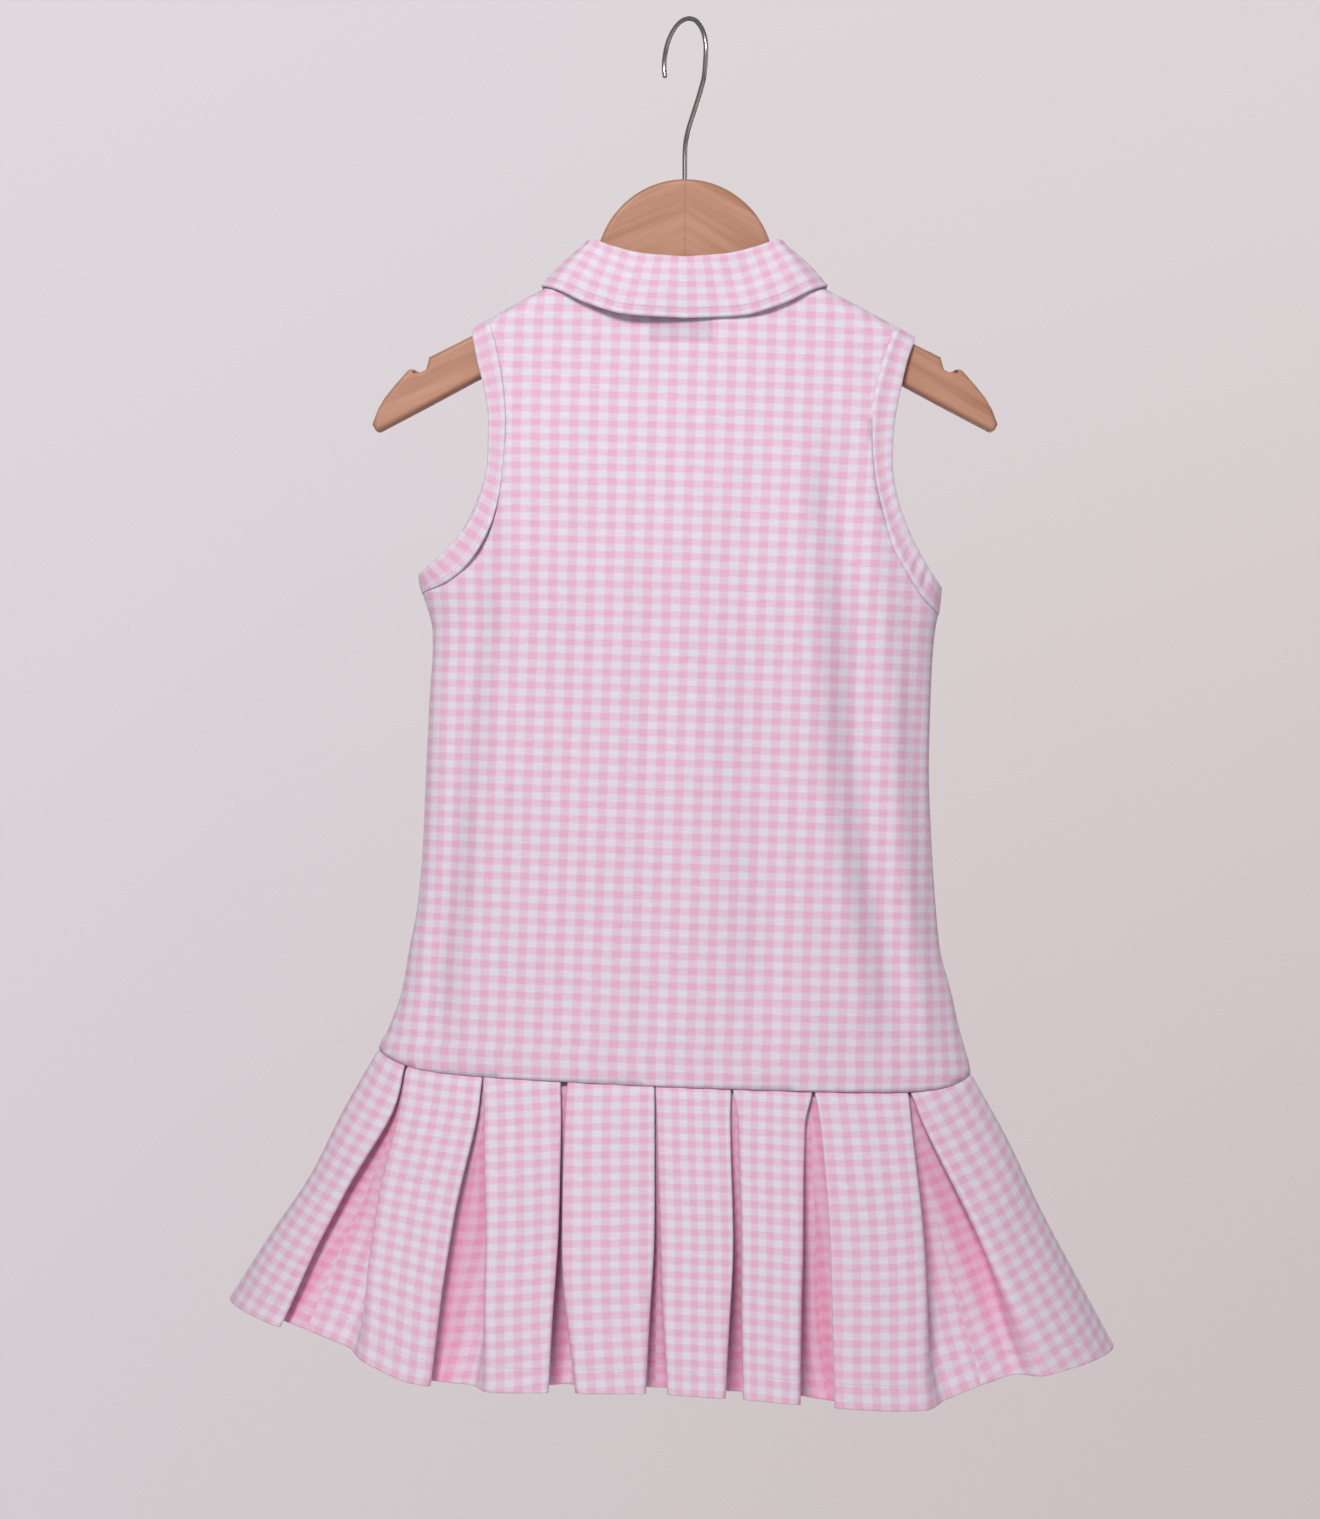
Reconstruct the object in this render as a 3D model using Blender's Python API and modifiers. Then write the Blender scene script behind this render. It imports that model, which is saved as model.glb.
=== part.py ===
"""Sleeveless golf dress hanging on a child's wooden hanger.

Sizes are in millimetres in the tables and in metres in the scene. The origin is the inner top
of the hook, +Z is up, and the back of the dress faces -Y. Left is -X. The shared form of the
cloth is worked out from section tables, and each cut piece is a sheet laid on it and thickened.
"""

import math

import bmesh
import bpy
from mathutils import Vector
from mathutils.geometry import delaunay_2d_cdt

# Named sizes, in millimetres.
BODY_CLOTH = 1.5
SKIRT_CLOTH = 1.2
COLLAR_CLOTH = 1.6
BAND_CLOTH = 2.2
PLACKET_CLOTH = 1.6
LABEL_CLOTH = 0.8
SEAM_GAP = 0.3
WAIST_GAP = 0.8
SHOULDER_ROLL = 10.0
FOLD_RADIUS = 0.95
BOARD_THICK = 12.0
BOARD_EDGE = 2.6
WIRE_RADIUS = 1.4
HOOK_RADIUS = 21.4
HOOK_TURN = 58.0
BUTTON_RADIUS = 5.5
BUTTON_THICK = 2.2

# Bodice sections. Columns: height z, left side x, right side x, half depth.
# Above the underarm the sides are those of the form that the armhole edges lie on.
BODY = [
    (-590, -167.8, 156.5, 48.5),
    (-577.5, -167.8, 156.5, 48.0),
    (-564.3, -167.8, 153.4, 47.2),
    (-554, -162.8, 150.5, 46.6),
    (-532, -155.1, 145.5, 45.2),
    (-510, -151.2, 139.8, 43.8),
    (-488, -146.9, 137.5, 42.5),
    (-455, -143.8, 135.3, 40.5),
    (-411, -141.9, 133.7, 38.5),
    (-367, -139.7, 134.8, 36.5),
    (-345, -138.2, 136.0, 35.5),
    (-334, -138.4, 137.2, 35.0),
    (-323, -141.0, 139.3, 34.5),
    (-313, -144.2, 140.3, 34.0),
    (-304, -145.9, 141.0, 33.5),
    (-230, -143.0, 142.0, 24.0),
    (-170, -137.0, 145.0, 16.0),
    (-141, -136.0, 146.0, 13.5),
    (-100, -136.0, 146.0, 12.0),
]

# Line along the top of the shoulders, carried on over the neck. Columns: x, z.
RIDGE = [
    (-150, -190.0),
    (-116, -169.1),
    (-72.6, -144.9),
    (-56, -138.0),
    (0, -108.0),
    (56, -138.3),
    (78.7, -148.2),
    (126.5, -174.0),
    (150, -187.5),
]

# Neck seam of the back and the front panel. Columns: x, z of back, z of front.
NECK = [
    (-56, -138.0, -138.0),
    (-53, -141.6, -144.0),
    (-47, -145.3, -153.0),
    (-36, -149.6, -166.0),
    (-20, -153.0, -178.0),
    (0, -154.5, -185.0),
    (20, -153.0, -178.0),
    (36, -149.7, -166.0),
    (47, -145.5, -153.2),
    (53, -141.9, -144.3),
    (56, -138.3, -138.3),
]

# Armhole. Columns: share of the way down, seam x, outer x, extra outer x of the front.
# The heights of both lines run evenly from the ridge of the shoulder down to ARM_LOW,
# whose columns are the seam and the outer edge.
ARM_LEFT = [
    (0.00, -108.2, -116.7, 0.0),
    (0.13, -103.5, -113.2, 0.0),
    (0.27, -99.9, -108.6, 0.5),
    (0.38, -98.6, -106.6, 0.5),
    (0.53, -99.6, -106.9, 1.0),
    (0.63, -101.3, -108.8, 3.5),
    (0.73, -104.8, -112.8, 5.0),
    (0.82, -110.7, -119.6, 4.5),
    (0.91, -120.3, -130.8, 2.5),
    (0.965, -131.1, -139.6, 1.0),
    (1.00, -144.2, -145.9, 0.0),
]
ARM_RIGHT = [
    (0.00, 116.7, 126.1, 0.0),
    (0.09, 110.9, 121.4, 0.0),
    (0.21, 105.3, 117.3, 0.5),
    (0.31, 102.3, 114.4, 0.5),
    (0.41, 101.6, 112.7, 0.5),
    (0.52, 102.7, 112.3, 1.0),
    (0.64, 106.7, 114.7, 2.0),
    (0.77, 113.2, 120.8, 2.0),
    (0.875, 122.3, 128.2, 1.0),
    (0.95, 130.5, 135.0, 0.5),
    (1.00, 139.1, 140.4, 0.0),
]
ARM_LOW = {-1: (-313.4, -304.5), 1: (-324.9, -311.6)}

# Skirt form, from the waist seam to the hem. Columns: share of the way down,
# left side x, left side z, right side x, right side z, half depth.
SKIRT = [
    (0.00, -167.8, -564.3, 156.5, -577.5, 48.0),
    (0.25, -187.9, -599.0, 177.0, -614.5, 58.0),
    (0.50, -205.8, -634.5, 195.3, -653.0, 68.0),
    (0.75, -228.2, -667.4, 215.3, -690.5, 78.0),
    (1.00, -249.7, -701.3, 235.4, -727.7, 88.0),
]
SEAM_DROP = 9.4
HEM_DROP = 18.8

# How far the worn hem falls below its even line. Columns: angle round the half, back, front.
HEM_DIP = [
    (-90, 0.0, 0.0),
    (-60, 0.0, 0.5),
    (-44, 4.0, 2.0),
    (-34, 11.0, 2.5),
    (-24, 9.5, 1.5),
    (-14, 6.0, 1.0),
    (0, 3.0, 1.5),
    (10, 4.0, 2.5),
    (20, 7.0, 3.0),
    (33, 10.0, 2.0),
    (45, 3.5, 1.0),
    (60, 0.0, 0.5),
    (90, 0.0, 0.0),
]

# Pleats of the back. Columns: name, left fold at 0, 0.12, 0.5 and 1 of the way down, right fold
# at the same places (mm round from the centre), then for the left and the right fold: how far
# the cloth tucks behind at the waist and at the hem, and how far round it is turned at the hem
# in degrees (180 lies flat behind, under 90 is a soft open wave).
PLEAT_ROWS = (0.0, 0.12, 0.5, 1.0)
BACK_PLEATS = [
    ("A", -152.0, -155.0, -187.0, -218.5, -149.6, -151.5, -164.5, -170.0, 8, 12, 163, 8, 8, 46),
    ("B", -105.0, -107.0, -120.5, -129.0, -104.0, -102.8, -101.8, -100.5, 9, 13, 160, 9, 8, 56),
    ("C", -62.0, -61.6, -62.9, -65.6, -57.5, -58.5, -60.2, -51.0, 9, 15, 156, 9, 14, 84),
    ("D", -11.4, -11.4, -11.9, -14.4, -10.2, -9.4, -7.8, -2.4, 9, 14, 148, 9, 14, 140),
    ("E", 29.6, 29.0, 29.8, 27.4, 31.2, 34.0, 35.0, 37.2, 8, 14, 140, 9, 14, 130),
    ("F", 73.8, 69.2, 67.2, 67.0, 75.5, 78.4, 82.6, 85.6, 9, 15, 96, 9, 15, 156),
    ("G", 127.8, 129.0, 134.8, 139.5, 129.8, 137.0, 167.0, 201.0, 8, 9, 46, 8, 8, 74),
]
FRONT_PLEATS = [
    ("A", -150.6, -152.0, -176.0, -207.0, -149.4, -149.4, -162.0, -180.0, 8, 14, 140, 8, 13, 60),
    ("B", -103.6, -105.0, -118.0, -136.0, -102.4, -101.8, -106.0, -114.0, 9, 15, 150, 9, 14, 84),
    ("C", -53.6, -54.2, -60.0, -69.0, -52.4, -51.8, -53.0, -54.0, 9, 15, 152, 9, 14, 112),
    ("D", -0.6, -1.2, -4.0, -8.0, 0.6, 1.2, 4.0, 7.0, 9, 14, 146, 9, 14, 142),
    ("E", 52.4, 51.6, 52.0, 53.0, 53.6, 54.4, 61.0, 70.0, 9, 14, 108, 9, 15, 152),
    ("F", 102.4, 101.8, 105.0, 112.0, 103.6, 105.0, 118.0, 134.0, 9, 14, 82, 9, 15, 150),
    ("G", 149.4, 149.4, 160.0, 176.0, 150.6, 152.0, 176.0, 204.0, 8, 13, 60, 8, 14, 142),
]

# Long soft folds of the bodice. Columns: x and z of the top, the middle and the foot of the
# line, half width, depth (hollows are positive, ridges negative).
BACK_FOLDS = [
    (-97, -251, -114, -400, -133, -545, 11, 3.2),
    (-59, -275, -67, -400, -72, -550, 12, 2.4),
    (-29, -262, -31, -434, -31, -548, 11, 1.4),
    (20, -262, 20, -421, 26, -540, 12, 1.8),
    (74, -250, 81, -400, 97, -540, 13, 2.6),
    (116, -372, 122, -460, 139, -558, 10, 2.2),
    (-72, -222, -95, -400, -118, -552, 10, -2.0),
    (47, -240, 50, -400, 60, -530, 14, -1.5),
    (95, -228, 103, -400, 116, -540, 11, -2.0),
]
FRONT_FOLDS = [
    (-92, -255, -106, -400, -122, -545, 12, 2.6),
    (-45, -300, -52, -420, -60, -548, 13, 2.0),
    (32, -310, 36, -430, 40, -548, 13, 1.8),
    (86, -255, 95, -400, 112, -545, 12, 2.6),
    (-72, -240, -80, -400, -92, -548, 12, -1.6),
    (62, -245, 66, -400, 76, -548, 13, -1.6),
]

# Collar, from the centre back (0) over the shoulder (1) to the centre front (2), left half.
# Columns: place, x of the neck seam, gap above it, then x, y, z of the fold and of the edge.
COLLAR = [
    (0.00, 0.0, 0.35, 0.0, -15.0, -132.2, 0.0, -23.0, -165.6),
    (0.35, -22.5, 0.35, -22.5, -14.5, -130.3, -30.5, -22.0, -164.0),
    (0.65, -41.0, 0.50, -41.0, -11.8, -125.4, -53.0, -18.5, -157.5),
    (0.85, -51.5, 0.95, -50.2, -8.6, -121.6, -70.0, -13.6, -149.0),
    (1.00, -56.0, 1.50, -52.6, 0.0, -120.8, -78.2, -1.0, -145.6),
    (1.09, -54.6, 1.20, -52.1, 4.8, -121.4, -77.8, 8.0, -146.6),
    (1.20, -51.5, 0.95, -50.8, 9.2, -123.2, -76.0, 14.8, -152.5),
    (1.45, -38.0, 0.70, -38.0, 15.5, -134.0, -66.0, 23.0, -178.0),
    (1.70, -21.0, 0.60, -22.0, 19.0, -149.0, -52.0, 26.5, -203.0),
    (2.00, -1.2, 0.35, -1.6, 21.0, -163.0, -36.0, 28.0, -219.0),
]

# Hanger board, left half of its outline from the crown down to the underside. Columns: x, z.
CROWN_CENTRE = (0.0, -135.9)
CROWN_RADIUS = 48.8
BOARD_SIDE = [
    (-48.9, -134.6),
    (-50.6, -137.6),
    (-54.5, -140.1),
    (-76.0, -151.5),
    (-96.0, -162.1),
    (-116.1, -172.7),
    (-140.4, -184.9),
    (-141.2, -188.4),
    (-142.2, -191.6),
    (-145.4, -193.2),
    (-148.4, -191.7),
    (-149.9, -190.3),
    (-152.6, -192.6),
    (-159.7, -200.6),
    (-164.8, -207.0),
    (-168.6, -213.6),
    (-171.6, -221.6),
    (-169.2, -226.4),
    (-140.0, -211.0),
    (-111.9, -195.9),
    (-76.0, -177.2),
    (-46.0, -161.2),
    (-24.0, -151.4),
    (-8.0, -147.8),
]

# Lower end of the hook wire, in the plane of the hook. Columns: out from the shank, z.
HOOK_NECK = [
    (21.3, -22.0),
    (19.6, -33.2),
    (15.6, -41.3),
    (9.2, -51.2),
    (3.2, -60.6),
    (0.6, -67.6),
    (0.0, -75.0),
    (0.0, -99.0),
]

# Shares down the armhole at which its seam has points, steps of the grid inside a panel, depths
# under the ridge of its lines there, and shares down the skirt.
ARM_ROWS = [0, 0.003, 0.016, 0.043, 0.08, 0.18, 0.3, 0.42, 0.54, 0.65, 0.75, 0.83, 0.89, 0.93, 0.96, 0.982, 1]
TURN_STEP = 7.5
HEIGHT_STEP = 22.0
ROLL_ROWS = (0.4, 2.4, 6.4, 12.0)
SKIRT_ROWS = [0, 0.05, 0.12, 0.28, 0.45, 0.63, 0.81, 1]


def between(rows, at, column):
    """Value of a column at a place along the first column, on a smooth curve with no overshoot."""
    if at <= rows[0][0]:
        return rows[0][column]
    if at >= rows[-1][0]:
        return rows[-1][column]
    i = max(k for k in range(len(rows) - 1) if rows[k][0] <= at)

    def rise(k):
        return (rows[k + 1][column] - rows[k][column]) / (rows[k + 1][0] - rows[k][0])

    def slope(k):
        if k == 0:
            return rise(0)
        if k == len(rows) - 1:
            return rise(k - 1)
        a, b = rise(k - 1), rise(k)
        return 0.0 if a * b <= 0 else 2 * a * b / (a + b)

    step = rows[i + 1][0] - rows[i][0]
    t = (at - rows[i][0]) / step
    return (
        (2 * t**3 - 3 * t**2 + 1) * rows[i][column]
        + (t**3 - 2 * t**2 + t) * step * slope(i)
        + (3 * t**2 - 2 * t**3) * rows[i + 1][column]
        + (t**3 - t**2) * step * slope(i + 1)
    )


def mix(a, b, t):
    return a + (b - a) * t


def ease(t):
    t = max(0.0, min(1.0, t))
    return t * t * (3 - 2 * t)


# The form of the bodice: a point for an angle round the half section and a height.


def turn_at(x, z):
    """Angle round the half section, in degrees, at which the form has this x."""
    left, right = between(BODY, z, 1), between(BODY, z, 2)
    return math.degrees(math.asin(max(-1.0, min(1.0, (2 * x - left - right) / (right - left)))))


def hollow(folds, x, z):
    """How far the long soft folds sink the cloth at a point."""
    total = 0.0
    for x0, z0, x1, z1, x2, z2, width, depth in folds:
        if z > z0 + 30 or z < z2 - 30:
            continue
        line = mix(x0, x1, (z - z0) / (z1 - z0)) if z > z1 else mix(x1, x2, (z - z1) / (z2 - z1))
        fade = ease((z0 + 30 - z) / 60) * ease((z - z2 + 30) / 50)
        total += depth * fade * math.exp(-(((x - line) / width) ** 2))
    return total


def body_point(turn, z, side, gap=SEAM_GAP):
    """Point of the bodice's middle surface: side -1 is the back and 1 the front."""
    left, right = between(BODY, z, 1), between(BODY, z, 2)
    x = (left + right) / 2 + (right - left) / 2 * math.sin(math.radians(turn))
    below = between(RIDGE, x, 1) - z
    roll = 1.0
    if below < SHOULDER_ROLL:
        roll = math.sqrt(max(0.0, 1 - (1 - max(0.0, below) / SHOULDER_ROLL) ** 2))
    round_off = max(0.0, math.cos(math.radians(turn)))
    depth = between(BODY, z, 3) * round_off * roll
    folds = BACK_FOLDS if side < 0 else FRONT_FOLDS
    depth -= hollow(folds, x, z) * min(1.0, 2 * round_off) * ease((z + 588) / 26)
    return Vector((x, side * (gap + depth), z))


def body_on(x, z, side, out):
    """Point over the bodice at x and z, moved out from its middle surface."""
    turn = turn_at(x, z)
    here = body_point(turn, z, side)
    across = body_point(turn + 0.5, z, side) - body_point(turn - 0.5, z, side)
    down = body_point(turn, z - 0.5, side) - body_point(turn, z + 0.5, side)
    normal = across.cross(down).normalized()
    if normal.y * side < 0:
        normal = -normal
    return here + normal * out


def waist_height(turn):
    """Height of the waist seam, in straight steps that both pieces share."""
    step = min(23, math.floor((turn + 90) / 7.5))
    ends = []
    for k in (step, step + 1):
        sine = math.sin(math.radians(-90 + 7.5 * k))
        ends.append(
            mix(SKIRT[0][2], SKIRT[0][4], (sine + 1) / 2) - SEAM_DROP * (1 - abs(sine) ** 12)
        )
    return mix(ends[0], ends[1], (turn + 90) / 7.5 - step)


def neck_height(x, side):
    """Height of the neck seam, in straight steps that panel and collar share."""
    places = [NECK[0][0] * math.cos(math.pi * k / 12) for k in range(13)]
    k = max(i for i in range(12) if places[i] <= max(x, places[0]))
    ends = [between(NECK, places[i], 1 if side < 0 else 2) for i in (k, k + 1)]
    return mix(ends[0], ends[1], (x - places[k]) / (places[k + 1] - places[k]))


# The form of the skirt: a point for a distance round the half section and a share down.


def skirt_curve(share, side):
    """Points of the half section at a share down, with the distance round from its centre."""
    left, right = between(SKIRT, share, 1), between(SKIRT, share, 3)
    left_z, right_z = between(SKIRT, share, 2), between(SKIRT, share, 4)
    depth = between(SKIRT, share, 5)
    points = []
    for k in range(-60, 61):
        turn = k * 1.5
        s, c = math.sin(math.radians(turn)), max(0.0, math.cos(math.radians(turn)))
        x = mix(left, right, (s + 1) / 2)
        flat = mix(SKIRT[0][2], SKIRT[0][4], (s + 1) / 2)
        z = mix(left_z, right_z, (s + 1) / 2)
        z += (waist_height(turn) - flat) * (1 - share) - HEM_DROP * share * (1 - abs(s) ** 3)
        z -= between(HEM_DIP, turn, 1 if side < 0 else 2) * share**2
        points.append(Vector((x, side * (SEAM_GAP + depth * c), z)))
    far = [0.0]
    for a, b in zip(points, points[1:]):
        far.append(far[-1] + math.hypot(b.x - a.x, b.y - a.y))
    middle = far[60]
    return points, [d - middle for d in far]


def skirt_point(curve, along, inward, side):
    """Point at a distance round the curve, moved in from it."""
    points, far = curve
    along = max(far[0], min(far[-1], along))
    i = max(k for k in range(len(far) - 1) if far[k] <= along)
    here = points[i].lerp(points[i + 1], (along - far[i]) / (far[i + 1] - far[i]))

    def way(k):
        d = points[min(k + 1, len(points) - 1)] - points[max(k - 1, 0)]
        return Vector((d.x, d.y, 0))

    step = way(i).lerp(way(i + 1), (along - far[i]) / (far[i + 1] - far[i])).normalized()
    return here + Vector((step.y, -step.x, 0)) * side * inward


def fold_path(at, tuck, turned, way):
    """Section of one fold, from the face to the underlay: pairs of distance round and depth."""
    radius = FOLD_RADIUS + 0.05 * (180 - turned)
    angle = math.radians(turned)
    points = [(radius * math.sin(angle * k / 3), radius * (1 - math.cos(angle * k / 3))) for k in range(4)]
    p, q = points[-1]
    p, q = p + tuck * math.cos(angle), q + tuck * math.sin(angle)
    for k in (0, 0.5, 1):
        a = angle * (1 - k)
        points.append(
            (p + radius * (math.sin(angle) - math.sin(a)), q + radius * (math.cos(a) - math.cos(angle)))
        )
    furthest = max(point[0] for point in points[:4])
    return [(at + way * (p - furthest), q) for p, q in points]


def skirt_section(pleats, share, ends):
    """Section of a pleated half skirt at a share down: pairs of distance round and depth."""
    path = [(ends[0], 0.0), (ends[0] + 1.5, 0.0), (ends[0] + 6, 0.0)]
    for row in pleats:
        lefts = [(place, row[1 + k]) for k, place in enumerate(PLEAT_ROWS)]
        rights = [(place, row[5 + k]) for k, place in enumerate(PLEAT_ROWS)]
        open_up = share**1.3
        left = fold_path(
            between(lefts, share, 1), mix(row[9], row[10], share), mix(177.5, row[11], open_up), 1
        )
        right = fold_path(
            between(rights, share, 1), mix(row[12], row[13], share), mix(177.5, row[14], open_up), -1
        )
        start, steps = path[-1][0], 3 if len(path) == 3 else 2
        path += [(mix(start, left[0][0], k / steps), 0.0) for k in range(1, steps)]
        path += left
        a, b = left[-1], right[-1]
        path.append((mix(a[0], b[0], 0.5), mix(a[1], b[1], 0.5)))
        path += right[::-1]
    path += [(mix(path[-1][0], ends[1] - 6, k / 3), 0.0) for k in (1, 2)]
    path += [(ends[1] - 6, 0.0), (ends[1] - 1.5, 0.0), (ends[1], 0.0)]
    return path


# Making objects.

for old in list(bpy.data.objects):
    bpy.data.objects.remove(old, do_unlink=True)

dress = bpy.data.collections.new("golf_dress_on_hanger")
bpy.context.scene.collection.children.link(dress)
cutters = bpy.data.collections.new("cutters")
bpy.context.scene.collection.children.link(cutters)


def material(name, colour, rough, metal=0.0):
    made = bpy.data.materials.new(name)
    made.use_nodes = True
    shader = made.node_tree.nodes["Principled BSDF"]
    shader.inputs["Base Color"].default_value = (*colour, 1)
    shader.inputs["Roughness"].default_value = rough
    shader.inputs["Metallic"].default_value = metal
    return made


def add_object(name, mesh, collection, look=None):
    made = bpy.data.objects.new(name, mesh)
    collection.objects.link(made)
    if look:
        made.data.materials.append(look)
    return made


def thicken(made, thick):
    wall = made.modifiers.new("cloth wall", "SOLIDIFY")
    wall.thickness = thick * 0.001
    wall.offset = 0
    wall.use_quality_normals = True
    return made


def sheet(name, rows, thick, look, ring=False):
    """A sheet of cloth through rows of points in mm, thickened evenly to both sides."""
    mesh = bpy.data.meshes.new(name)
    bm = bmesh.new()
    grid = [[bm.verts.new(point * 0.001) for point in row] for row in rows]
    lines = list(zip(grid, grid[1:])) + ([(grid[-1], grid[0])] if ring else [])
    for upper, lower in lines:
        for k in range(len(upper) - 1):
            bm.faces.new((upper[k], upper[k + 1], lower[k + 1], lower[k]))
    bmesh.ops.recalc_face_normals(bm, faces=bm.faces)
    bm.to_mesh(mesh)
    bm.free()
    return thicken(add_object(name, mesh, dress, look), thick)
gingham_back = material("gingham back", (0.80, 0.50, 0.60), 0.85)
gingham_front = material("gingham front", (0.78, 0.48, 0.58), 0.85)
gingham_skirt_back = material("gingham skirt back", (0.76, 0.46, 0.57), 0.85)
gingham_skirt_front = material("gingham skirt front", (0.74, 0.44, 0.55), 0.85)
gingham_collar = material("gingham collar", (0.82, 0.54, 0.64), 0.85)
gingham_left_band = material("gingham left band", (0.84, 0.55, 0.65), 0.85)
gingham_right_band = material("gingham right band", (0.84, 0.55, 0.65), 0.85)
gingham_placket = material("gingham placket", (0.80, 0.52, 0.62), 0.85)
label_white = material("label tape", (0.80, 0.78, 0.80), 0.7)
button_look = material("button", (0.90, 0.82, 0.84), 0.35)
wood = material("hanger wood", (0.46, 0.26, 0.17), 0.5)
steel = material("hook steel", (0.62, 0.61, 0.60), 0.3, 1.0)


# Bodice panels: a grid blended between the four edges of the piece, in angle and height.


def arm_edge(side_x, share, outer, front):
    """Angle and height on the armhole seam or on the outer edge of its band."""
    rows = ARM_LEFT if side_x < 0 else ARM_RIGHT
    x = between(rows, share, 2 if outer else 1)
    if outer and front:
        x += side_x * between(rows, share, 3)
    top = between(RIDGE, rows[0][2 if outer else 1], 1)
    z = mix(top, ARM_LOW[side_x][1 if outer else 0], share)
    if share >= 1:
        return side_x * 90.0, z
    return turn_at(x, z), z


def neck_edge(side):
    points = []
    for k in range(13):
        x = NECK[0][0] * math.cos(math.pi * k / 12)
        z = neck_height(x, side)
        points.append((turn_at(x, z), z))
    return points


def shoulder_line(side_x, below, count=7):
    """Points from the shoulder tip to the neck, at a depth under the ridge."""
    tip = (ARM_LEFT if side_x < 0 else ARM_RIGHT)[0][1]
    end = (NECK[0] if side_x < 0 else NECK[-1])[0]
    points = []
    for k in range(count + 1):
        x = mix(tip, end, k / count)
        z = between(RIDGE, x, 1) - below
        points.append((turn_at(x, z), z))
    return points


def panel_outline(side):
    """Cut line of a bodice panel, as pairs of angle and height."""
    line = shoulder_line(-1, 0)[:-1] + neck_edge(side) + shoulder_line(1, 0)[-2::-1]
    line += [arm_edge(1, share, False, False) for share in ARM_ROWS[1:]]
    low = waist_height(90) + WAIST_GAP / 2
    line += [(90.0, mix(ARM_LOW[1][0], low, k / 14)) for k in range(1, 14)]
    line += [(turn, waist_height(turn) + WAIST_GAP / 2) for turn in (90 - 7.5 * k for k in range(25))]
    low = waist_height(-90) + WAIST_GAP / 2
    line += [(-90.0, mix(low, ARM_LOW[-1][0], k / 14)) for k in range(1, 14)]
    line += [arm_edge(-1, share, False, False) for share in reversed(ARM_ROWS[1:])]
    return line


def inside(line, point, clear):
    """Whether a point lies within a closed line and at least this far from it, in mm."""
    x, y = point
    within, nearest = False, 1e9
    for (ax, ay), (bx, by) in zip(line, line[1:] + line[:1]):
        if (ay > y) != (by > y) and x < ax + (y - ay) * (bx - ax) / (by - ay):
            within = not within
        t = ((x - ax) * (bx - ax) + (y - ay) * (by - ay)) / max(1e-9, (bx - ax) ** 2 + (by - ay) ** 2)
        t = max(0.0, min(1.0, t))
        nearest = min(nearest, math.hypot(x - mix(ax, bx, t), y - mix(ay, by, t)))
    return within and nearest > clear


def cut_panel(name, side, look):
    """A bodice panel cut to its outline: the outline and a grid inside it, filled with triangles."""
    wide = 2.5
    line = [(turn * wide, z) for turn, z in panel_outline(side)]
    spots = list(line)
    for side_x in (-1, 1):
        for below in ROLL_ROWS:
            for turn, z in shoulder_line(side_x, below)[1:-1]:
                spots.append((turn * wide, z))
    spots += [(turn * 87 / 90 * wide, z) for turn, z in panel_outline(side) if abs(turn) > 89.9][1:-1]
    for i in range(-11, 12):
        for j in range(21):
            turn, z = i * TURN_STEP, -568 + j * HEIGHT_STEP
            x = body_point(turn, z, side).x
            if between(RIDGE, x, 1) - z > 15 and inside(line, (turn * wide, z), 5):
                spots.append((turn * wide, z))
    edges = [(k, (k + 1) % len(line)) for k in range(len(line))]
    flat = delaunay_2d_cdt([Vector(spot) for spot in spots], edges, [], 1, 1e-5)
    mesh = bpy.data.meshes.new(name)
    points = [body_point(spot.x / wide, spot.y, side) * 0.001 for spot in flat[0]]
    mesh.from_pydata(points, [], [list(f) for f in flat[2]])
    thicken(add_object(name, mesh, dress, look), BODY_CLOTH)


cut_panel("back_panel", -1, gingham_back)
cut_panel("front_panel", 1, gingham_front)


# Armhole bands: a strip from the seam to the open edge, as a closed ring round the armhole.


def band_rows(side_x):
    rows = []
    up_the_back = [(share, -1) for share in reversed(ARM_ROWS)]
    down_the_front = [(share, 1) for share in ARM_ROWS[1:-1]]
    for share, side in up_the_back + down_the_front:
        seam = arm_edge(side_x, share, False, side > 0)
        edge = arm_edge(side_x, share, True, side > 0)
        row = []
        for across in (0.06, 0.37, 0.68, 1.0):
            turn, z = mix(seam[0], edge[0], across), mix(seam[1], edge[1], across)
            gap = 0.0 if share in (0, 1) else 0.1
            row.append(body_point(turn, z, side, gap))
        rows.append(row)
    return rows


sheet("armhole_band_left", band_rows(-1), BAND_CLOTH, gingham_left_band, ring=True)
sheet("armhole_band_right", band_rows(1), BAND_CLOTH, gingham_right_band, ring=True)


# Skirt: back and front halves, each one folded strip from side seam to side seam.


def skirt_rows(pleats, side):
    rows = []
    for share in SKIRT_ROWS:
        curve = skirt_curve(share, side)
        lower = Vector((0, 0, -WAIST_GAP / 2)) if share == 0 else Vector((0, 0, 0))
        path = skirt_section(pleats, share, (curve[1][0], curve[1][-1]))
        rows.append([skirt_point(curve, along, inward, side) + lower for along, inward in path])
    return rows


sheet("skirt_back", skirt_rows(BACK_PLEATS, -1), SKIRT_CLOTH, gingham_skirt_back)
sheet("skirt_front", skirt_rows(FRONT_PLEATS, 1), SKIRT_CLOTH, gingham_skirt_front)


# Collar: a stand up from the neck seam, a rounded fold and the leaf, open at the centre front.


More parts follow.
